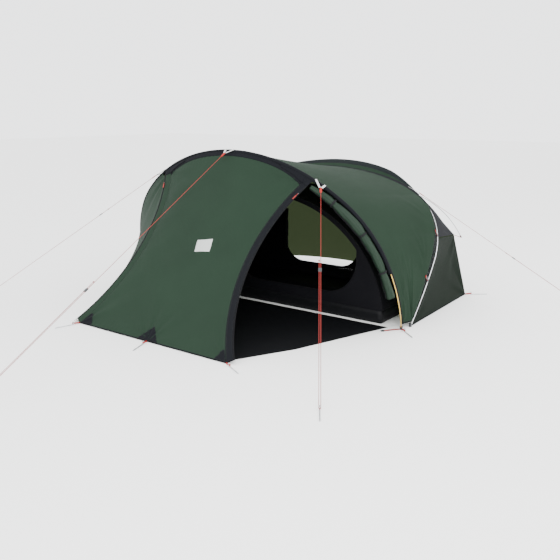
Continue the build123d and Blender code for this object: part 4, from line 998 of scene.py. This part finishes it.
for name, rows, finish, inside, node, slot, size in (
    ("rear_side_cloth", side_rows, REAR_GREEN_PAINTED_SHADE, FLY_INSIDE_PAINTED_BACKLIGHT, "rear_side", "rear_fabric", (1.40, 0.75)),
    ("vent_hood_cloth", hood_rows, CHARCOAL, None, "vent_hood", "dark_fabric", (0.80, 0.65)),
):
    for side, placed in two_sides(rows).items():
        placed = outward_side(placed)
        piece = cloth(f"{name}_{side}", placed, finish, 0.0012, inside=inside, outward=CENTRE)
        declare_sheet(piece, *size, "stretched", ["rear_pole"], [f"{node}_{side}"], slot)
        SEAMS += [seam_line(placed, e, 0.007) for e in ("left", "right")]
        lower_edge = "top" if placed[0, :, 2].mean() < placed[-1, :, 2].mean() else "bottom"
        hem_tape(f"{name}_{side}_tape", placed, lower_edge, 0.010)

# %% [markdown]
# ## The side doors
# The right door is zipped shut. It is the same cloth as the porch and hangs a little
# slack between its zip and the pole, so long shallow folds run across it.

# %% Right door
door_foot_v = edge_foot_v(HEM_Z, -0.010)
zip_side = np.array([edge_at(0.05 + (door_foot_v - 0.05) * v, -0.010) for v in np.linspace(0, 1, 90)])
door_top_s = front.s_at_y(-EDGE_TOP_Y) - 0.070
door_s = [door_top_s * (1 - v) + 0.012 * v for v in np.linspace(0, 1, 90)]
hoop_side = np.array([front.at(s, 0.0, -FRONT_SEAM) for s in door_s])
hoop_side[-1, 2] = HEM_Z
door_ends = [between(zip_side[end], hoop_side[end], 60) for end in (0, -1)]
door_rows = fill(*door_ends, zip_side, hoop_side, (0, 0.025, 0))
door_rows = slack(door_rows, 2.0, 0.010, 12.0)
for place, count, reach, depth in (
    (zip_side[-1], 9, 0.5, 0.006), (hoop_side[-1], 9, 0.6, 0.007), (zip_side[0], 7, 0.4, 0.006),
):
    door_rows = fan(door_rows, place, count, reach, depth, turn=place[0])
door_rows = outward_side(flipped(door_rows))
right_door = cloth("right_door_cloth", door_rows, FRONT_GREEN, inside=FLY_INSIDE_PAINTED_BACKLIGHT, outward=CENTRE)
declare_sheet(right_door, 1.50, 1.60, "stretched", ["front_sleeve_cloth"], ["right_door"], "door_fabric")
hem_tape("right_door_tape", door_rows, "bottom", 0.010)
SEAMS += [seam_line(door_rows, e, 0.008) for e in ("left", "right")]

# %% [markdown]
# The left door is rolled up and tied along the pole. It is a real roll: one sheet wound
# six times, wrinkled lengthwise and pinched where the ties hold it. Its zip tape is on
# the free outer edge.

# %% Rolled left door
ROLL_R = 0.042
ROLL_GAP = SLEEVE_R + ROLL_R + 0.0026
ROLL_INSET = ROLL_GAP * 0.62
ROLL_BACK = -math.sqrt(ROLL_GAP**2 - ROLL_INSET**2)
anchor_s = front.s_at_y(-0.920)
roll_start = front.s_at_z(0.330)
roll_end = anchor_s + 0.045
roll_length = roll_end - roll_start
TIE_SHARES = (0.2, 0.5, 0.8)
WINDS = 6
FREE_EDGE = math.radians(150)


def roll_frame(s):
    middle = front.at(s, ROLL_INSET, ROLL_BACK)
    along = unit(front.at(s + 0.005, ROLL_INSET, ROLL_BACK) - front.at(s - 0.005, ROLL_INSET, ROLL_BACK))
    a = unit(front.back - (front.back @ along) * along)
    return middle, a, np.cross(along, a)


def roll_radius(wind, angle, share, s):
    """Distance from the roll's axis. It winds outwards, pinched at the ties, with long wrinkles."""
    base = 0.007 + (ROLL_R - 0.010) * wind / WINDS
    pinch = sum(math.exp(-(((share - t) * roll_length) / 0.045) ** 2) for t in TIE_SHARES)
    swell = 0.98 - 0.17 * pinch + 0.08 * math.sin(share * 11 + 2)
    swell *= 1 - 0.50 * max(0.0, (share - 0.80) / 0.20) ** 1.5
    spot = Vector((math.cos(angle) * 1.1, math.sin(angle) * 1.1, s * 4.5))
    drift = s * 3.2 + 0.5 * math.sin(s * 15)
    fine = Vector((math.cos(angle) * 2.6 + 7, math.sin(angle) * 2.6, drift))
    wrinkle = 0.26 * noise.noise(spot) + 0.24 * (0.35 - abs(noise.noise(fine)))
    wrinkle += 0.10 * noise.noise(fine * 2.1)
    return base * swell * (1 + wrinkle)


def roll_point(wind, share, extra=0.0):
    s = roll_start + roll_length * share
    middle, a, b = roll_frame(s)
    angle = FREE_EDGE + 2 * math.pi * (wind - WINDS)
    r = roll_radius(wind, angle, share, s) + extra
    end_slide = 0.012 * math.sin(3 * wind) * (1 if share > 0.5 else -1) * (abs(2 * share - 1) ** 12) * 0.5
    return middle + r * (math.cos(angle) * a + math.sin(angle) * b) + end_slide * np.cross(a, b)


winds = np.linspace(0, WINDS, WINDS * 26 + 1)
roll_shares = np.linspace(0, 1, 120)
roll_rows = np.array([[roll_point(w, share) for w in winds] for share in roll_shares])
roll = cloth("left_door_rolled_cloth", roll_rows, DOOR_GREEN, 0.0012, inside=DOOR_GREEN)
wound = float(np.linalg.norm(np.diff(roll_rows[30], axis=0), axis=1).sum())
trim_winds = np.linspace(WINDS - 0.075, WINDS + 0.01, 5)
trim_rows = np.array([[roll_point(w, share, 0.0015) for w in trim_winds] for share in roll_shares])
roll_trim = cloth("left_door_zip_trim", trim_rows, DARK_WEB, 0.0014)
coil_shares = np.linspace(0, 1, 300)
coil_line = np.array([roll_point(WINDS - 0.01, share, 0.0035) for share in coil_shares])
coil_axis = np.array([roll_frame(roll_start + roll_length * share)[0] for share in coil_shares])
coil_up = np.array([unit(p - q) for p, q in zip(coil_line, coil_axis)])
roll_teeth = repeated("left_door_teeth", [(coil_line, coil_up)], CHARCOAL, 0.0026, 0.0021, 0.0050, 0.0026)
TIE_R = ROLL_R * 0.86 + 0.0012
TIE_HALF_W = 0.008
turns = np.linspace(0, 2 * math.pi, 49)[:-1]
ties = []
for number, t in enumerate(TIE_SHARES):
    rings = []
    for offset in np.linspace(-TIE_HALF_W, TIE_HALF_W, 5):
        middle, a, b = roll_frame(roll_start + roll_length * (t + offset / roll_length))
        ways = [math.cos(q) * a + math.sin(q) * b for q in turns]
        rings.append([middle + (TIE_R + 0.0008 * math.sin(5 * q)) * way for q, way in zip(turns, ways)])
    tie = cloth(f"door_tie_{number}", tube_side(np.array(rings)), DARK_WEB, 0.0016, closed=True)
    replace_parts(tie, "door_ties")
    ties.append(tie)
for extra in (roll_trim, roll_teeth, *ties):
    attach(extra, "tent")
ROLL_CUT = 0.97                 # the cut cloth's share of its rectangle, an estimate
long = float(roll_length)
declare_sheet(roll, wound, long, "folded", [tie.name for tie in ties], ["left_door_roll"], "door_fabric",
              area=wound * long * ROLL_CUT, extras=[roll_trim, roll_teeth, *ties])

# %% [markdown]
# ## Straps
# Straps are short lengths of webbing. Each one follows the same points as the frame:
# the loops round the pegs, the pole-foot straps, the hood straps and the V of white
# webbing where each guy line starts. A flattened curve twists at tight bends, so one
# function lays each strip with its width held along a chosen side.


# %% Ribbons
RIBBONS = []


def ribbon(name, points, side, width, material, node, thickness=0.0016, steps=24):
    """Webbing along points, its width along side."""
    points = np.array(points, dtype=float)
    run = np.concatenate([[0], np.cumsum(np.linalg.norm(np.diff(points, axis=0), axis=1))])
    at = np.linspace(0, run[-1], steps)
    line = np.stack([np.interp(at, run, points[:, c]) for c in range(3)], axis=1)
    along = np.gradient(line, axis=0)
    along /= np.linalg.norm(along, axis=1, keepdims=True)
    side = np.broadcast_to(np.asarray(side, dtype=float), line.shape)
    side = side - (side * along).sum(axis=1, keepdims=True) * along
    side = side / np.linalg.norm(side, axis=1, keepdims=True)
    rows = np.array([[p + q * width / 2 * w for w in np.linspace(-1, 1, 5)] for p, q in zip(line, side)])
    piece = cloth(name, rows, material, thickness)
    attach(piece, "tent")
    if node:
        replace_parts(piece, node)
    up = grid_normals(rows)
    for face in (1, -1):
        for lane in (1, 3):
            SEAMS.append((rows[:, lane] + face * up[:, lane] * thickness * 0.62, up[:, lane] * face))
    RIBBONS.append(name)


UP = np.array([0, 0, 1.0])
PEG_REACH, NECK_Z, NECK_R = 0.062, 0.014, 0.0045      # the peg's neck, which the loop goes round
HEM_LOOP_Z = 0.007


def peg_loop(number, at, away, begin):
    """A loop from the hem, round the peg's neck and back. begin is where it leaves the hem."""
    away = unit([away[0], away[1], 0])
    side = np.cross(UP, away)
    hem_point = np.array([at[0], at[1], 0])
    neck = hem_point + PEG_REACH * away + [0, 0, NECK_Z]
    start = hem_point + begin * away + [0, 0, HEM_LOOP_Z]
    tucked = start - 0.010 * away
    half_turn = np.linspace(math.pi / 2, -math.pi / 2, 9)
    turn = [neck + NECK_R * (math.sin(q) * side + math.cos(q) * away) for q in half_turn]
    apart = 0.002 * side
    points = [tucked + apart, start + apart, *turn, start - apart, tucked - apart]
    ribbon(f"peg_loop_{number}", points, UP, 0.011, RED_WEB, "peg_loops", steps=40)


FOOT_Y = 1.560
foot_place = np.array([-0.004, -(FOOT_Y + 0.010), 0]) + SHIFT
rear_corner = CORNER * [1, 1, 0]
hem_ground = hem_corner * [1, 1, 0]
for number, (at, away, begin) in enumerate((
    (hem_ground, (-0.45, -0.9), 0.0060),
    (flipped(hem_ground), (-0.9, 0.25), 0.0016),
    (hem_ground * [1, 0, 0], (-1.0, -0.35), 0.0029),
    (rear_corner, (0.6, -0.8), 0.0015),
    (flipped(rear_corner), (0.6, 0.8), 0.0015),
    (foot_place, (-0.9, -1.0), 0.0035),
    (flipped(foot_place), (-0.9, 1.0), 0.0035),
)):
    peg_loop(number, at, away, begin)

STRAP_W, TAB_W = 0.018, 0.020
STRUT_END = np.array([1.668, -1.418, 0.560]) + SHIFT
for side, turn_side in (("left", np.array([1, 1, 1])), ("right", np.array([1, -1, 1]))):
    direction = unit([-0.80, 0.60, 0.0])
    start = front.at(0) + 0.0135 * direction + [0, 0, 0.006]
    points = [start, start + 0.05 * direction + [0, 0, 0.002], start + 0.150 * direction]
    across = np.cross(UP, direction)
    ribbon(f"foot_strap_{side}", np.array(points) * turn_side, across * turn_side, STRAP_W,
           RED_WEB, "foot_straps")
    for number, clip in enumerate(CLIP_SHARES):
        s = rear_s0 * clip + CLIP_OFF
        inward = unit(rear.at(s, 0.010) - rear.at(s))
        start_tab = rear.at(s, 0.0, -(REAR_POLE_R + 0.0028)) - 0.0041 * inward
        end_tab = rear.at(s, 0.0, -(rear_inset(s) + 0.016)) - 0.0030 * inward
        tab_way = unit(rear.at(s + 0.005) - rear.at(s - 0.005))
        ribbon(f"clip_tab_{side}_{number}", np.array([start_tab, end_tab]) * turn_side, tab_way * turn_side,
               TAB_W, RED_WEB, None, thickness=0.0026)
    hood_line = [STRUT_END + [-0.0075, 0, -0.0035], TIP + [0.001, 0, 0.001]]
    ribbon(f"hood_strap_{side}", np.array(hood_line) * turn_side, np.array([0, 1.0, 0]), STRAP_W,
           RED_WEB, "hood_straps")
print(len(RIBBONS), "straps")

# %% [markdown]
# ## Guy lines
# Each guy is one cord. It starts at its webbing, runs down through the runner, round
# the peg and back up through the runner, and ends in a knot. Its points are the
# frame's own, in metres. The straight runs are straight because the cord is taut.

# %% Hard and cord finishes
def hard(name, colour, metallic=0.0, roughness=0.4, grain=0.04, scale=90.0, bumps=0.0, coat=0.0):
    """A solid finish whose tone and gloss vary a little with place."""
    material = bpy.data.materials.new(name)
    material.use_nodes = True
    tree = material.node_tree
    shader = tree.nodes["Principled BSDF"]
    place = shader_node(tree, "TexCoord").outputs["Object"]
    speckle = shader_node(tree, "TexNoise", {"Scale": scale, "Detail": 6.0, "Vector": place})
    spots = speckle.outputs["Fac"]
    tinted(tree, shader, colour, ranged(tree, spots, NOISE_RANGE, (1 - grain * 3, 1 + grain * 3)))
    gloss = ranged(tree, spots, NOISE_RANGE, (roughness - grain, roughness + grain * 2))
    tree.links.new(gloss, shader.inputs["Roughness"])
    if bumps:
        embossed(tree, shader, spots, bumps, 0.0004)
    shader.inputs["Metallic"].default_value = metallic
    shader.inputs["Coat Weight"].default_value = coat
    return material


GOLD = hard("gold_anodised", (0.62, 0.43, 0.13), 1.0, 0.28, 0.03, 60)
SILVER = hard("silver_anodised", (0.74, 0.75, 0.76), 1.0, 0.26, 0.03, 60)
STRUT_GREY = hard("grey_glass_fibre", (0.20, 0.21, 0.22), 0.0, 0.38, 0.05, 150, coat=0.3)
BLACK_PLASTIC = hard("black_plastic", (0.020, 0.020, 0.022), 0.0, 0.42, 0.05, 300, bumps=0.15)
PEG_METAL = hard("peg_aluminium", (0.60, 0.61, 0.62), 1.0, 0.33, 0.05, 110, bumps=0.1)
SLIDER_METAL = hard("zip_slider_metal", (0.10, 0.10, 0.11), 0.9, 0.35, 0.05, 200)
CORD_RED = hard("guy_cord_braid", (0.24, 0.014, 0.010), 0.0, 0.75, 0.10, 420, bumps=0.6)
THREAD = hard("sewing_thread", (0.007, 0.012, 0.008), 0.0, 0.6, 0.08, 500)

# %% Cords, webbing and adapters
CORD_D = 0.004
STRAND_GAP = 0.013              # between a guy's two strands, round its peg
TAIL = 0.095                    # cord left above a runner, with the knot on its end
ADAPTER_L = 0.060
WEB_DOWN, WEB_OUT = 0.072, 0.026      # from the hoop to the point of the webbing's V
WEB_APART = 0.045                     # from the V's middle to each end, along the hoop
rear_anchor_s = rear.s_at_y(-1.060)


def strand(name, points):
    """One open curve of round cord through the route's points."""
    data = bpy.data.curves.new(name, "CURVE")
    data.dimensions = "3D"
    spline = data.splines.new("NURBS")
    spline.points.add(len(points) - 1)
    for slot, point in zip(spline.points, points):
        slot.co = (*point, 1)
    spline.order_u = 3
    spline.use_endpoint_u = True
    spline.resolution_u = 6
    data.bevel_depth = CORD_D / 2
    data.bevel_resolution = 3
    data.use_fill_caps = True
    data.materials.append(CORD_RED)
    return add_object(name, data)


def knot(name, centre, along, side):
    """A small overhand knot on a cord's end."""
    over = np.cross(along, side)
    data = bpy.data.curves.new(name, "CURVE")
    data.dimensions = "3D"
    spline = data.splines.new("NURBS")
    turns = np.linspace(0, 2 * math.pi, 25)[:-1]
    spline.points.add(len(turns) - 1)
    for slot, q in zip(spline.points, turns):
        x = 0.0021 * (math.sin(q) + 2 * math.sin(2 * q))
        y = 0.0021 * (math.cos(q) - 2 * math.cos(2 * q))
        z = -0.0026 * math.sin(3 * q)
        slot.co = (*(centre + x * along + y * side + z * over), 1)
    spline.order_u = 4
    spline.use_cyclic_u = True
    spline.resolution_u = 4
    data.bevel_depth = CORD_D / 2
    data.bevel_resolution = 2
    data.materials.append(CORD_RED)
    piece = add_object(name, data)
    mesh = bpy.data.meshes.new_from_object(piece.evaluated_get(bpy.context.evaluated_depsgraph_get()))
    bpy.data.objects.remove(piece)
    mesh.shade_smooth()
    return add_object(name, mesh)


def guy(name, arch, s, peg_x, peg_y, runner_share):
    """A guy line's V of webbing, its adapter, its cord and the cord's end knot."""
    anchor = arch.at(s)
    target = np.array([peg_x, peg_y, 0.014]) + SHIFT
    aim = unit(target - anchor)
    outward = unit(arch.at(s) - arch.at(s, 0.010))
    offset = WEB_DOWN * aim + WEB_OUT * outward
    vertex = anchor + offset
    hoop_way = unit(arch.at(s + 0.005) - arch.at(s - 0.005))
    level_offset = offset - (offset @ hoop_way) * hoop_way
    far = np.linalg.norm(level_offset)
    forward = unit(level_offset)
    over = unit(outward - (outward @ forward) * forward)
    touch = math.acos((SLEEVE_R + 0.0013) / far)
    off = math.cos(touch) * forward + math.sin(touch) * over
    aim = unit(target - vertex)
    apart = unit(hoop_way - (hoop_way @ aim) * aim)
    for k, word in ((1, "a"), (-1, "b")):
        begin = arch.at(s + k * WEB_APART) + off * (SLEEVE_R + 0.0006)
        end = vertex + k * 0.0092 * apart
        tucked = begin + unit(begin - end) * 0.010
        ribbon(f"guy_web_{name}_{word}", [tucked, begin, end], np.cross(end - begin, off), STRAP_W,
               WHITE_WEB, "guy_webbing")
    start = vertex + 0.0009 * aim
    level = unit(np.cross(UP, aim))
    rise = np.cross(aim, level)
    lines = []
    tapers = [(t, 1 - 0.35 * max(0.0, t - 0.75) / 0.25) for t in np.linspace(0, 1, 16)]
    for q in np.linspace(0, 2 * math.pi, 33)[:-1]:
        across = 0.009 * np.sign(math.cos(q)) * abs(math.cos(q)) ** 0.45
        lift = 0.0027 * np.sign(math.sin(q)) * abs(math.sin(q)) ** 0.6
        outline = across * level + lift * rise
        lines.append([start + ADAPTER_L * t * aim + outline * taper for t, taper in tapers])
    wrap = tube_side(np.array(lines).transpose(1, 0, 2))
    adapter = cloth(f"guy_adapter_{name}", wrap, RED_WEB, 0.0016, closed=True)
    declare_sheet(adapter, 0.044, ADAPTER_L, "folded", [f"guy_web_{name}_a"], ["guy_adapters"], "red_webbing")
    for lane in (-0.006, 0.006):
        for face in (1, -1):
            sewn = np.linspace(0.05, 0.7, 12)
            stitch = np.array([start + ADAPTER_L * t * aim for t in sewn])
            stitch += lane * level + face * 0.0036 * rise
            SEAMS.append((stitch, np.repeat((face * rise)[None], 12, axis=0)))
    a = start + ADAPTER_L * aim
    reach = float(np.linalg.norm(target - a))
    half = STRAND_GAP / 2
    b = target + half * aim
    c = b - STRAND_GAP * level
    d = a + (reach * runner_share - TAIL) * aim - STRAND_GAP * level
    leg = 6 * CORD_D
    cord = strand(f"guy_cord_{name}", [a, b - leg * aim, b, c, c - leg * aim, d])
    end_knot = knot(f"guy_knot_{name}", d + 0.004 * aim, aim, level)
    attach(cord, "tent")
    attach(end_knot, "tent")
    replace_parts(cord, f"guy_{name}")


guy("front", front, front.length / 2, -3.050, 0.0, 0.62)
guy("left", front, anchor_s, -1.800, -1.873, 0.42)
guy("right", front, front.length - anchor_s, -1.530, 2.360, 0.30)
guy("rear", rear, rear_anchor_s, 1.850, -2.560, 0.60)

# %% [markdown]
# ## Floors and the inner tent
# The porch's groundsheet lies flat with a few creases. The inner tent is black cloth on
# a deep coated tray. Its two doors are open, so the eye goes right through the tent to
# the outer tent's rear wall.

# %% Floors
sheet_x = np.array([-1.440, -0.970, -0.022])
sheet_half = np.array([0.850, 1.100, 1.440])
ground_rows = []
for x in np.linspace(sheet_x[0], sheet_x[-1], 70):
    half = np.interp(x, sheet_x, sheet_half)
    ground_rows.append([(x, y, 0.0016) for y in np.linspace(-half, half, 120)])
ground_rows = np.array(ground_rows) + SHIFT
crease = np.abs(rough(ground_rows, 2.2, 5.0)) * 0.004 + np.maximum(0, rough(ground_rows, 7.0, 8.0)) * 0.002
ground_rows[..., 2] += crease
groundsheet = cloth("groundsheet_cloth", ground_rows, GROUND_BLACK, 0.0010)
declare_sheet(groundsheet, 1.42, 2.88, "laid", [], ["groundsheet"], "floor_fabric")


def flat_uv(piece, a, b):
    """Lay a piece's weave along two of the axes."""
    mesh = piece.data
    uv = mesh.uv_layers["cloth"].data
    for loop in mesh.loops:
        place = mesh.vertices[loop.vertex_index].co
        uv[loop.index].uv = (place[a], place[b])


def around(inside, centre, angles):
    """Points of an outline in each direction from a centre, found by halving."""
    points = []
    for q in angles:
        low, high = 0.0, 3.0
        for _ in range(40):
            middle = (low + high) / 2
            spot = (centre[0] + middle * math.cos(q), centre[1] + middle * math.sin(q))
            low, high = (middle, high) if inside(*spot) else (low, middle)
        points.append((centre[0] + low * math.cos(q), centre[1] + low * math.sin(q)))
    return np.array(points)


INNER_HALF = 1.350
TRAY_H = 0.120
TRAY_PROFILE = (                # height, and how far in from the tray's side
    (TRAY_H, 0.001), (0.080, 0.0), (0.040, 0.0), (0.006, 0.001),
    (0.0022, 0.012), (0.002, 0.15), (0.002, 0.35), (0.002, 0.60),
)
tray_rings = []
for z, shrink in TRAY_PROFILE:
    x0, x1, h = INNER_X[0] + shrink, INNER_X[1] - shrink, INNER_HALF - shrink
    corners = [(x0, -h), (x1, -h), (x1, h), (x0, h)]
    ring = []
    for p, q, n in zip(corners, corners[1:] + corners[:1], (30, 60, 30, 60)):
        for t in np.linspace(0, 1, n, endpoint=False):
            ring.append((p[0] + (q[0] - p[0]) * t, p[1] + (q[1] - p[1]) * t, z))
    tray_rings.append(ring)
tray_rings = np.array(tray_rings) + SHIFT
bulge = rough(tray_rings, 4.0, 3.0) * 0.006
tray_rings[1:3, :, 2] += bulge[1:3]
tray_rings[0, :, 2] -= np.abs(rough(tray_rings, 2.0, 6.0)[0]) * 0.006
tray = cloth("inner_tray_cloth", tray_rings, GROUND_BLACK, 0.0014, closed=True)
flat_uv(tray, 0, 1)
declare_sheet(tray, 1.52, 2.94, "folded", [], ["inner_tray"], "floor_fabric")


# %% Inner tent
def arch_height(y, top, half, low=TRAY_H):
    rise = max(0.0, 1 - abs(y / half) ** 2.3) ** (1 / 1.7)
    return low + (top - low) * rise


def inner_end(name, x, top, doorway, node):
    """An upright end wall with a rounded doorway, as rings from the doorway outwards."""
    middle_y, middle_z, wide, high, round_r = doorway

    def in_door(y, z):
        dy, dz = abs(y - middle_y) - (wide / 2 - round_r), abs(z - middle_z) - (high / 2 - round_r)
        rounded = math.hypot(max(dy, 0), max(dz, 0)) < round_r and max(dy, dz) < round_r
        return rounded and TRAY_H < z < arch_height(y, top - 0.040, INNER_HALF - 0.040)

    def in_wall(y, z):
        return TRAY_H - 0.002 < z < arch_height(y, top, INNER_HALF - 0.002) and abs(y) < INNER_HALF - 0.002

    centre = (middle_y, min(middle_z, 0.45))
    angles = list(np.linspace(0, 2 * math.pi, 220, endpoint=False))
    for foot_y in (-(INNER_HALF - 0.002), INNER_HALF - 0.002):
        angles.append(math.atan2(TRAY_H - centre[1], foot_y - centre[0]) % (2 * math.pi))
    angles = sorted(angles)
    hole, rim = around(in_door, centre, angles), around(in_wall, centre, angles)
    rings = np.array([[(x, *p) for p in hole * (1 - k) + rim * k] for k in np.linspace(0, 1, 30)]) + SHIFT
    fade = np.sin(np.linspace(0, math.pi, 30))[:, None]
    rings[..., 0] += (rough(rings, 3.0, 4.0) * 0.010 + rough(rings, 9.0, 2.0) * 0.003) * fade
    piece = cloth(name, rings, NIGHT, 0.0012, closed=True)
    flat_uv(piece, 1, 2)
    declare_sheet(piece, 2.70, 1.00, "stretched", ["inner_tray_cloth"], [node], "inner_fabric")
    binding = rings[0][None] + np.array([(x, 0, 0) for x in (-BINDING, 0, BINDING)])[:, None]
    trim = cloth(name + "_binding", binding, DARK_WEB, BINDING, closed=True)
    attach(trim, "tent")


BINDING = 0.004
FRONT_TOP, REAR_TOP = 1.120, 1.040
FRONT_DOORWAY = (-0.370, 0.700, 1.420, 0.960, 0.320)     # middle y and z, width, height, corner radius
REAR_DOORWAY = (0.100, 0.570, 0.980, 0.860, 0.240)
inner_end("inner_front_wall_cloth", INNER_X[0] + 0.001, FRONT_TOP, FRONT_DOORWAY, "inner_front_wall")
inner_end("inner_rear_wall_cloth", INNER_X[1] - 0.001, REAR_TOP, REAR_DOORWAY, "inner_rear_wall")
canopy = []
for k in np.linspace(0, 1, 50):
    x = INNER_X[0] + 0.001 + (INNER_X[1] - INNER_X[0] - 0.002) * k
    top = FRONT_TOP + (REAR_TOP - FRONT_TOP) * k + 0.040 * 4 * k * (1 - k)
    ys = [-INNER_HALF * math.cos(math.pi * t) for t in np.linspace(0, 1, 130)]
    canopy.append([(x, y, arch_height(y, top, INNER_HALF) + 0.001) for y in ys])
canopy = np.array(canopy) + SHIFT
canopy = slack(canopy, 3.0, 0.008, 14.0)
for y in (-0.420, 0.0, 0.420):
    spot = on_cloth(outward_side(canopy), math.acos(-y / INNER_HALF) / math.pi, 0.953)
    canopy = fan(canopy, spot, 9, 0.30, 0.006, turn=y)
canopy_piece = cloth("inner_canopy_cloth", canopy, NIGHT, 0.0012, outward=CENTRE)
declare_sheet(canopy_piece, 1.36, 3.90, "hung", ["inner_hangers"], ["inner_canopy"], "inner_fabric")

DOOR_ROLL_R = 0.026
ROLL_SHARE = 0.62               # a rolled door's length, as a share of its doorway's height
for name, x, doorway in (
    ("inner_front_door_roll", INNER_X[0] + 0.002 + DOOR_ROLL_R, (-0.350, 0.650, 1.300, 0.860)),
    ("inner_rear_door_roll", INNER_X[1] - 0.002 - DOOR_ROLL_R, (0.090, 0.530, 0.940, 0.760)),
):
    middle_y, middle_z, wide, high = doorway
    tall = high * ROLL_SHARE
    y, low = middle_y + wide / 2 + DOOR_ROLL_R * 0.6, middle_z - high * 0.34
    rows = []
    for t in np.linspace(0, 1, 60):
        pinch = sum(math.exp(-((t - at) / 0.05) ** 2) for at in (0.25, 0.75))
        ring = []
        for w in np.linspace(0, 4, 81):
            q = 2 * math.pi * w
            wrinkle = 1 + 0.10 * noise.noise(Vector((math.cos(q), math.sin(q), t * 5)))
            r = (0.005 + 0.019 * w / 4) * (1 - 0.22 * pinch) * wrinkle
            ring.append((x + r * math.cos(q), y + r * math.sin(q), low + tall * t))
        rows.append(ring)
    rows = np.array(rows) + SHIFT
    inner_roll = cloth(name, rows, NIGHT, 0.0008)
    around_length = float(np.linalg.norm(np.diff(rows[20], axis=0), axis=1).sum())
    declare_sheet(inner_roll, around_length, tall, "folded", ["inner_tray_cloth"], ["inner_door_rolls"],
                  "inner_fabric", area=around_length * tall * ROLL_CUT)

# %% [markdown]
# ## Stitching and the frame's own hard parts
# All stitch lines were collected while the panels were made. The repeat tree sews them
# in one go. The poles, feet, clips, struts, pegs, runners and sliders are the frame's
# own nodes and get their finishes here.

# %% Stitches
half_way = len(SEAMS) // 2
for number, lines in enumerate((SEAMS[:half_way], SEAMS[half_way:])):
    thread = repeated(f"stitches_{number}", lines, THREAD, 0.0105, 0.0062, 0.0013, 0.0009, seed=5 + number)
    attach(thread, "tent")

# %% Finishes on the frame's nodes
finishes = {
    "front_pole": GOLD, "rear_pole": SILVER, "pole_feet": BLACK_PLASTIC, "pole_clips": BLACK_PLASTIC,
    "strut_caps": BLACK_PLASTIC, "vent_strut_left": STRUT_GREY, "vent_strut_right": STRUT_GREY,
    "hem_pegs": PEG_METAL, "foot_buckles": BLACK_PLASTIC, "inner_hangers": DARK_WEB,
    "zip_slider_left": SLIDER_METAL, "zip_slider_right": SLIDER_METAL,
    "zip_puller_left": CORD_RED, "zip_puller_right": CORD_RED,
}
for which in ("front", "left", "right", "rear"):
    finishes[f"runner_{which}"] = BLACK_PLASTIC
    finishes[f"guy_peg_{which}"] = PEG_METAL
for node, material in finishes.items():
    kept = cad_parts[node]
    for held in kept.material_slots:
        held.material = material
    if not kept.material_slots:
        kept.data.materials.append(material)
print(len(finishes), "frame nodes finished")
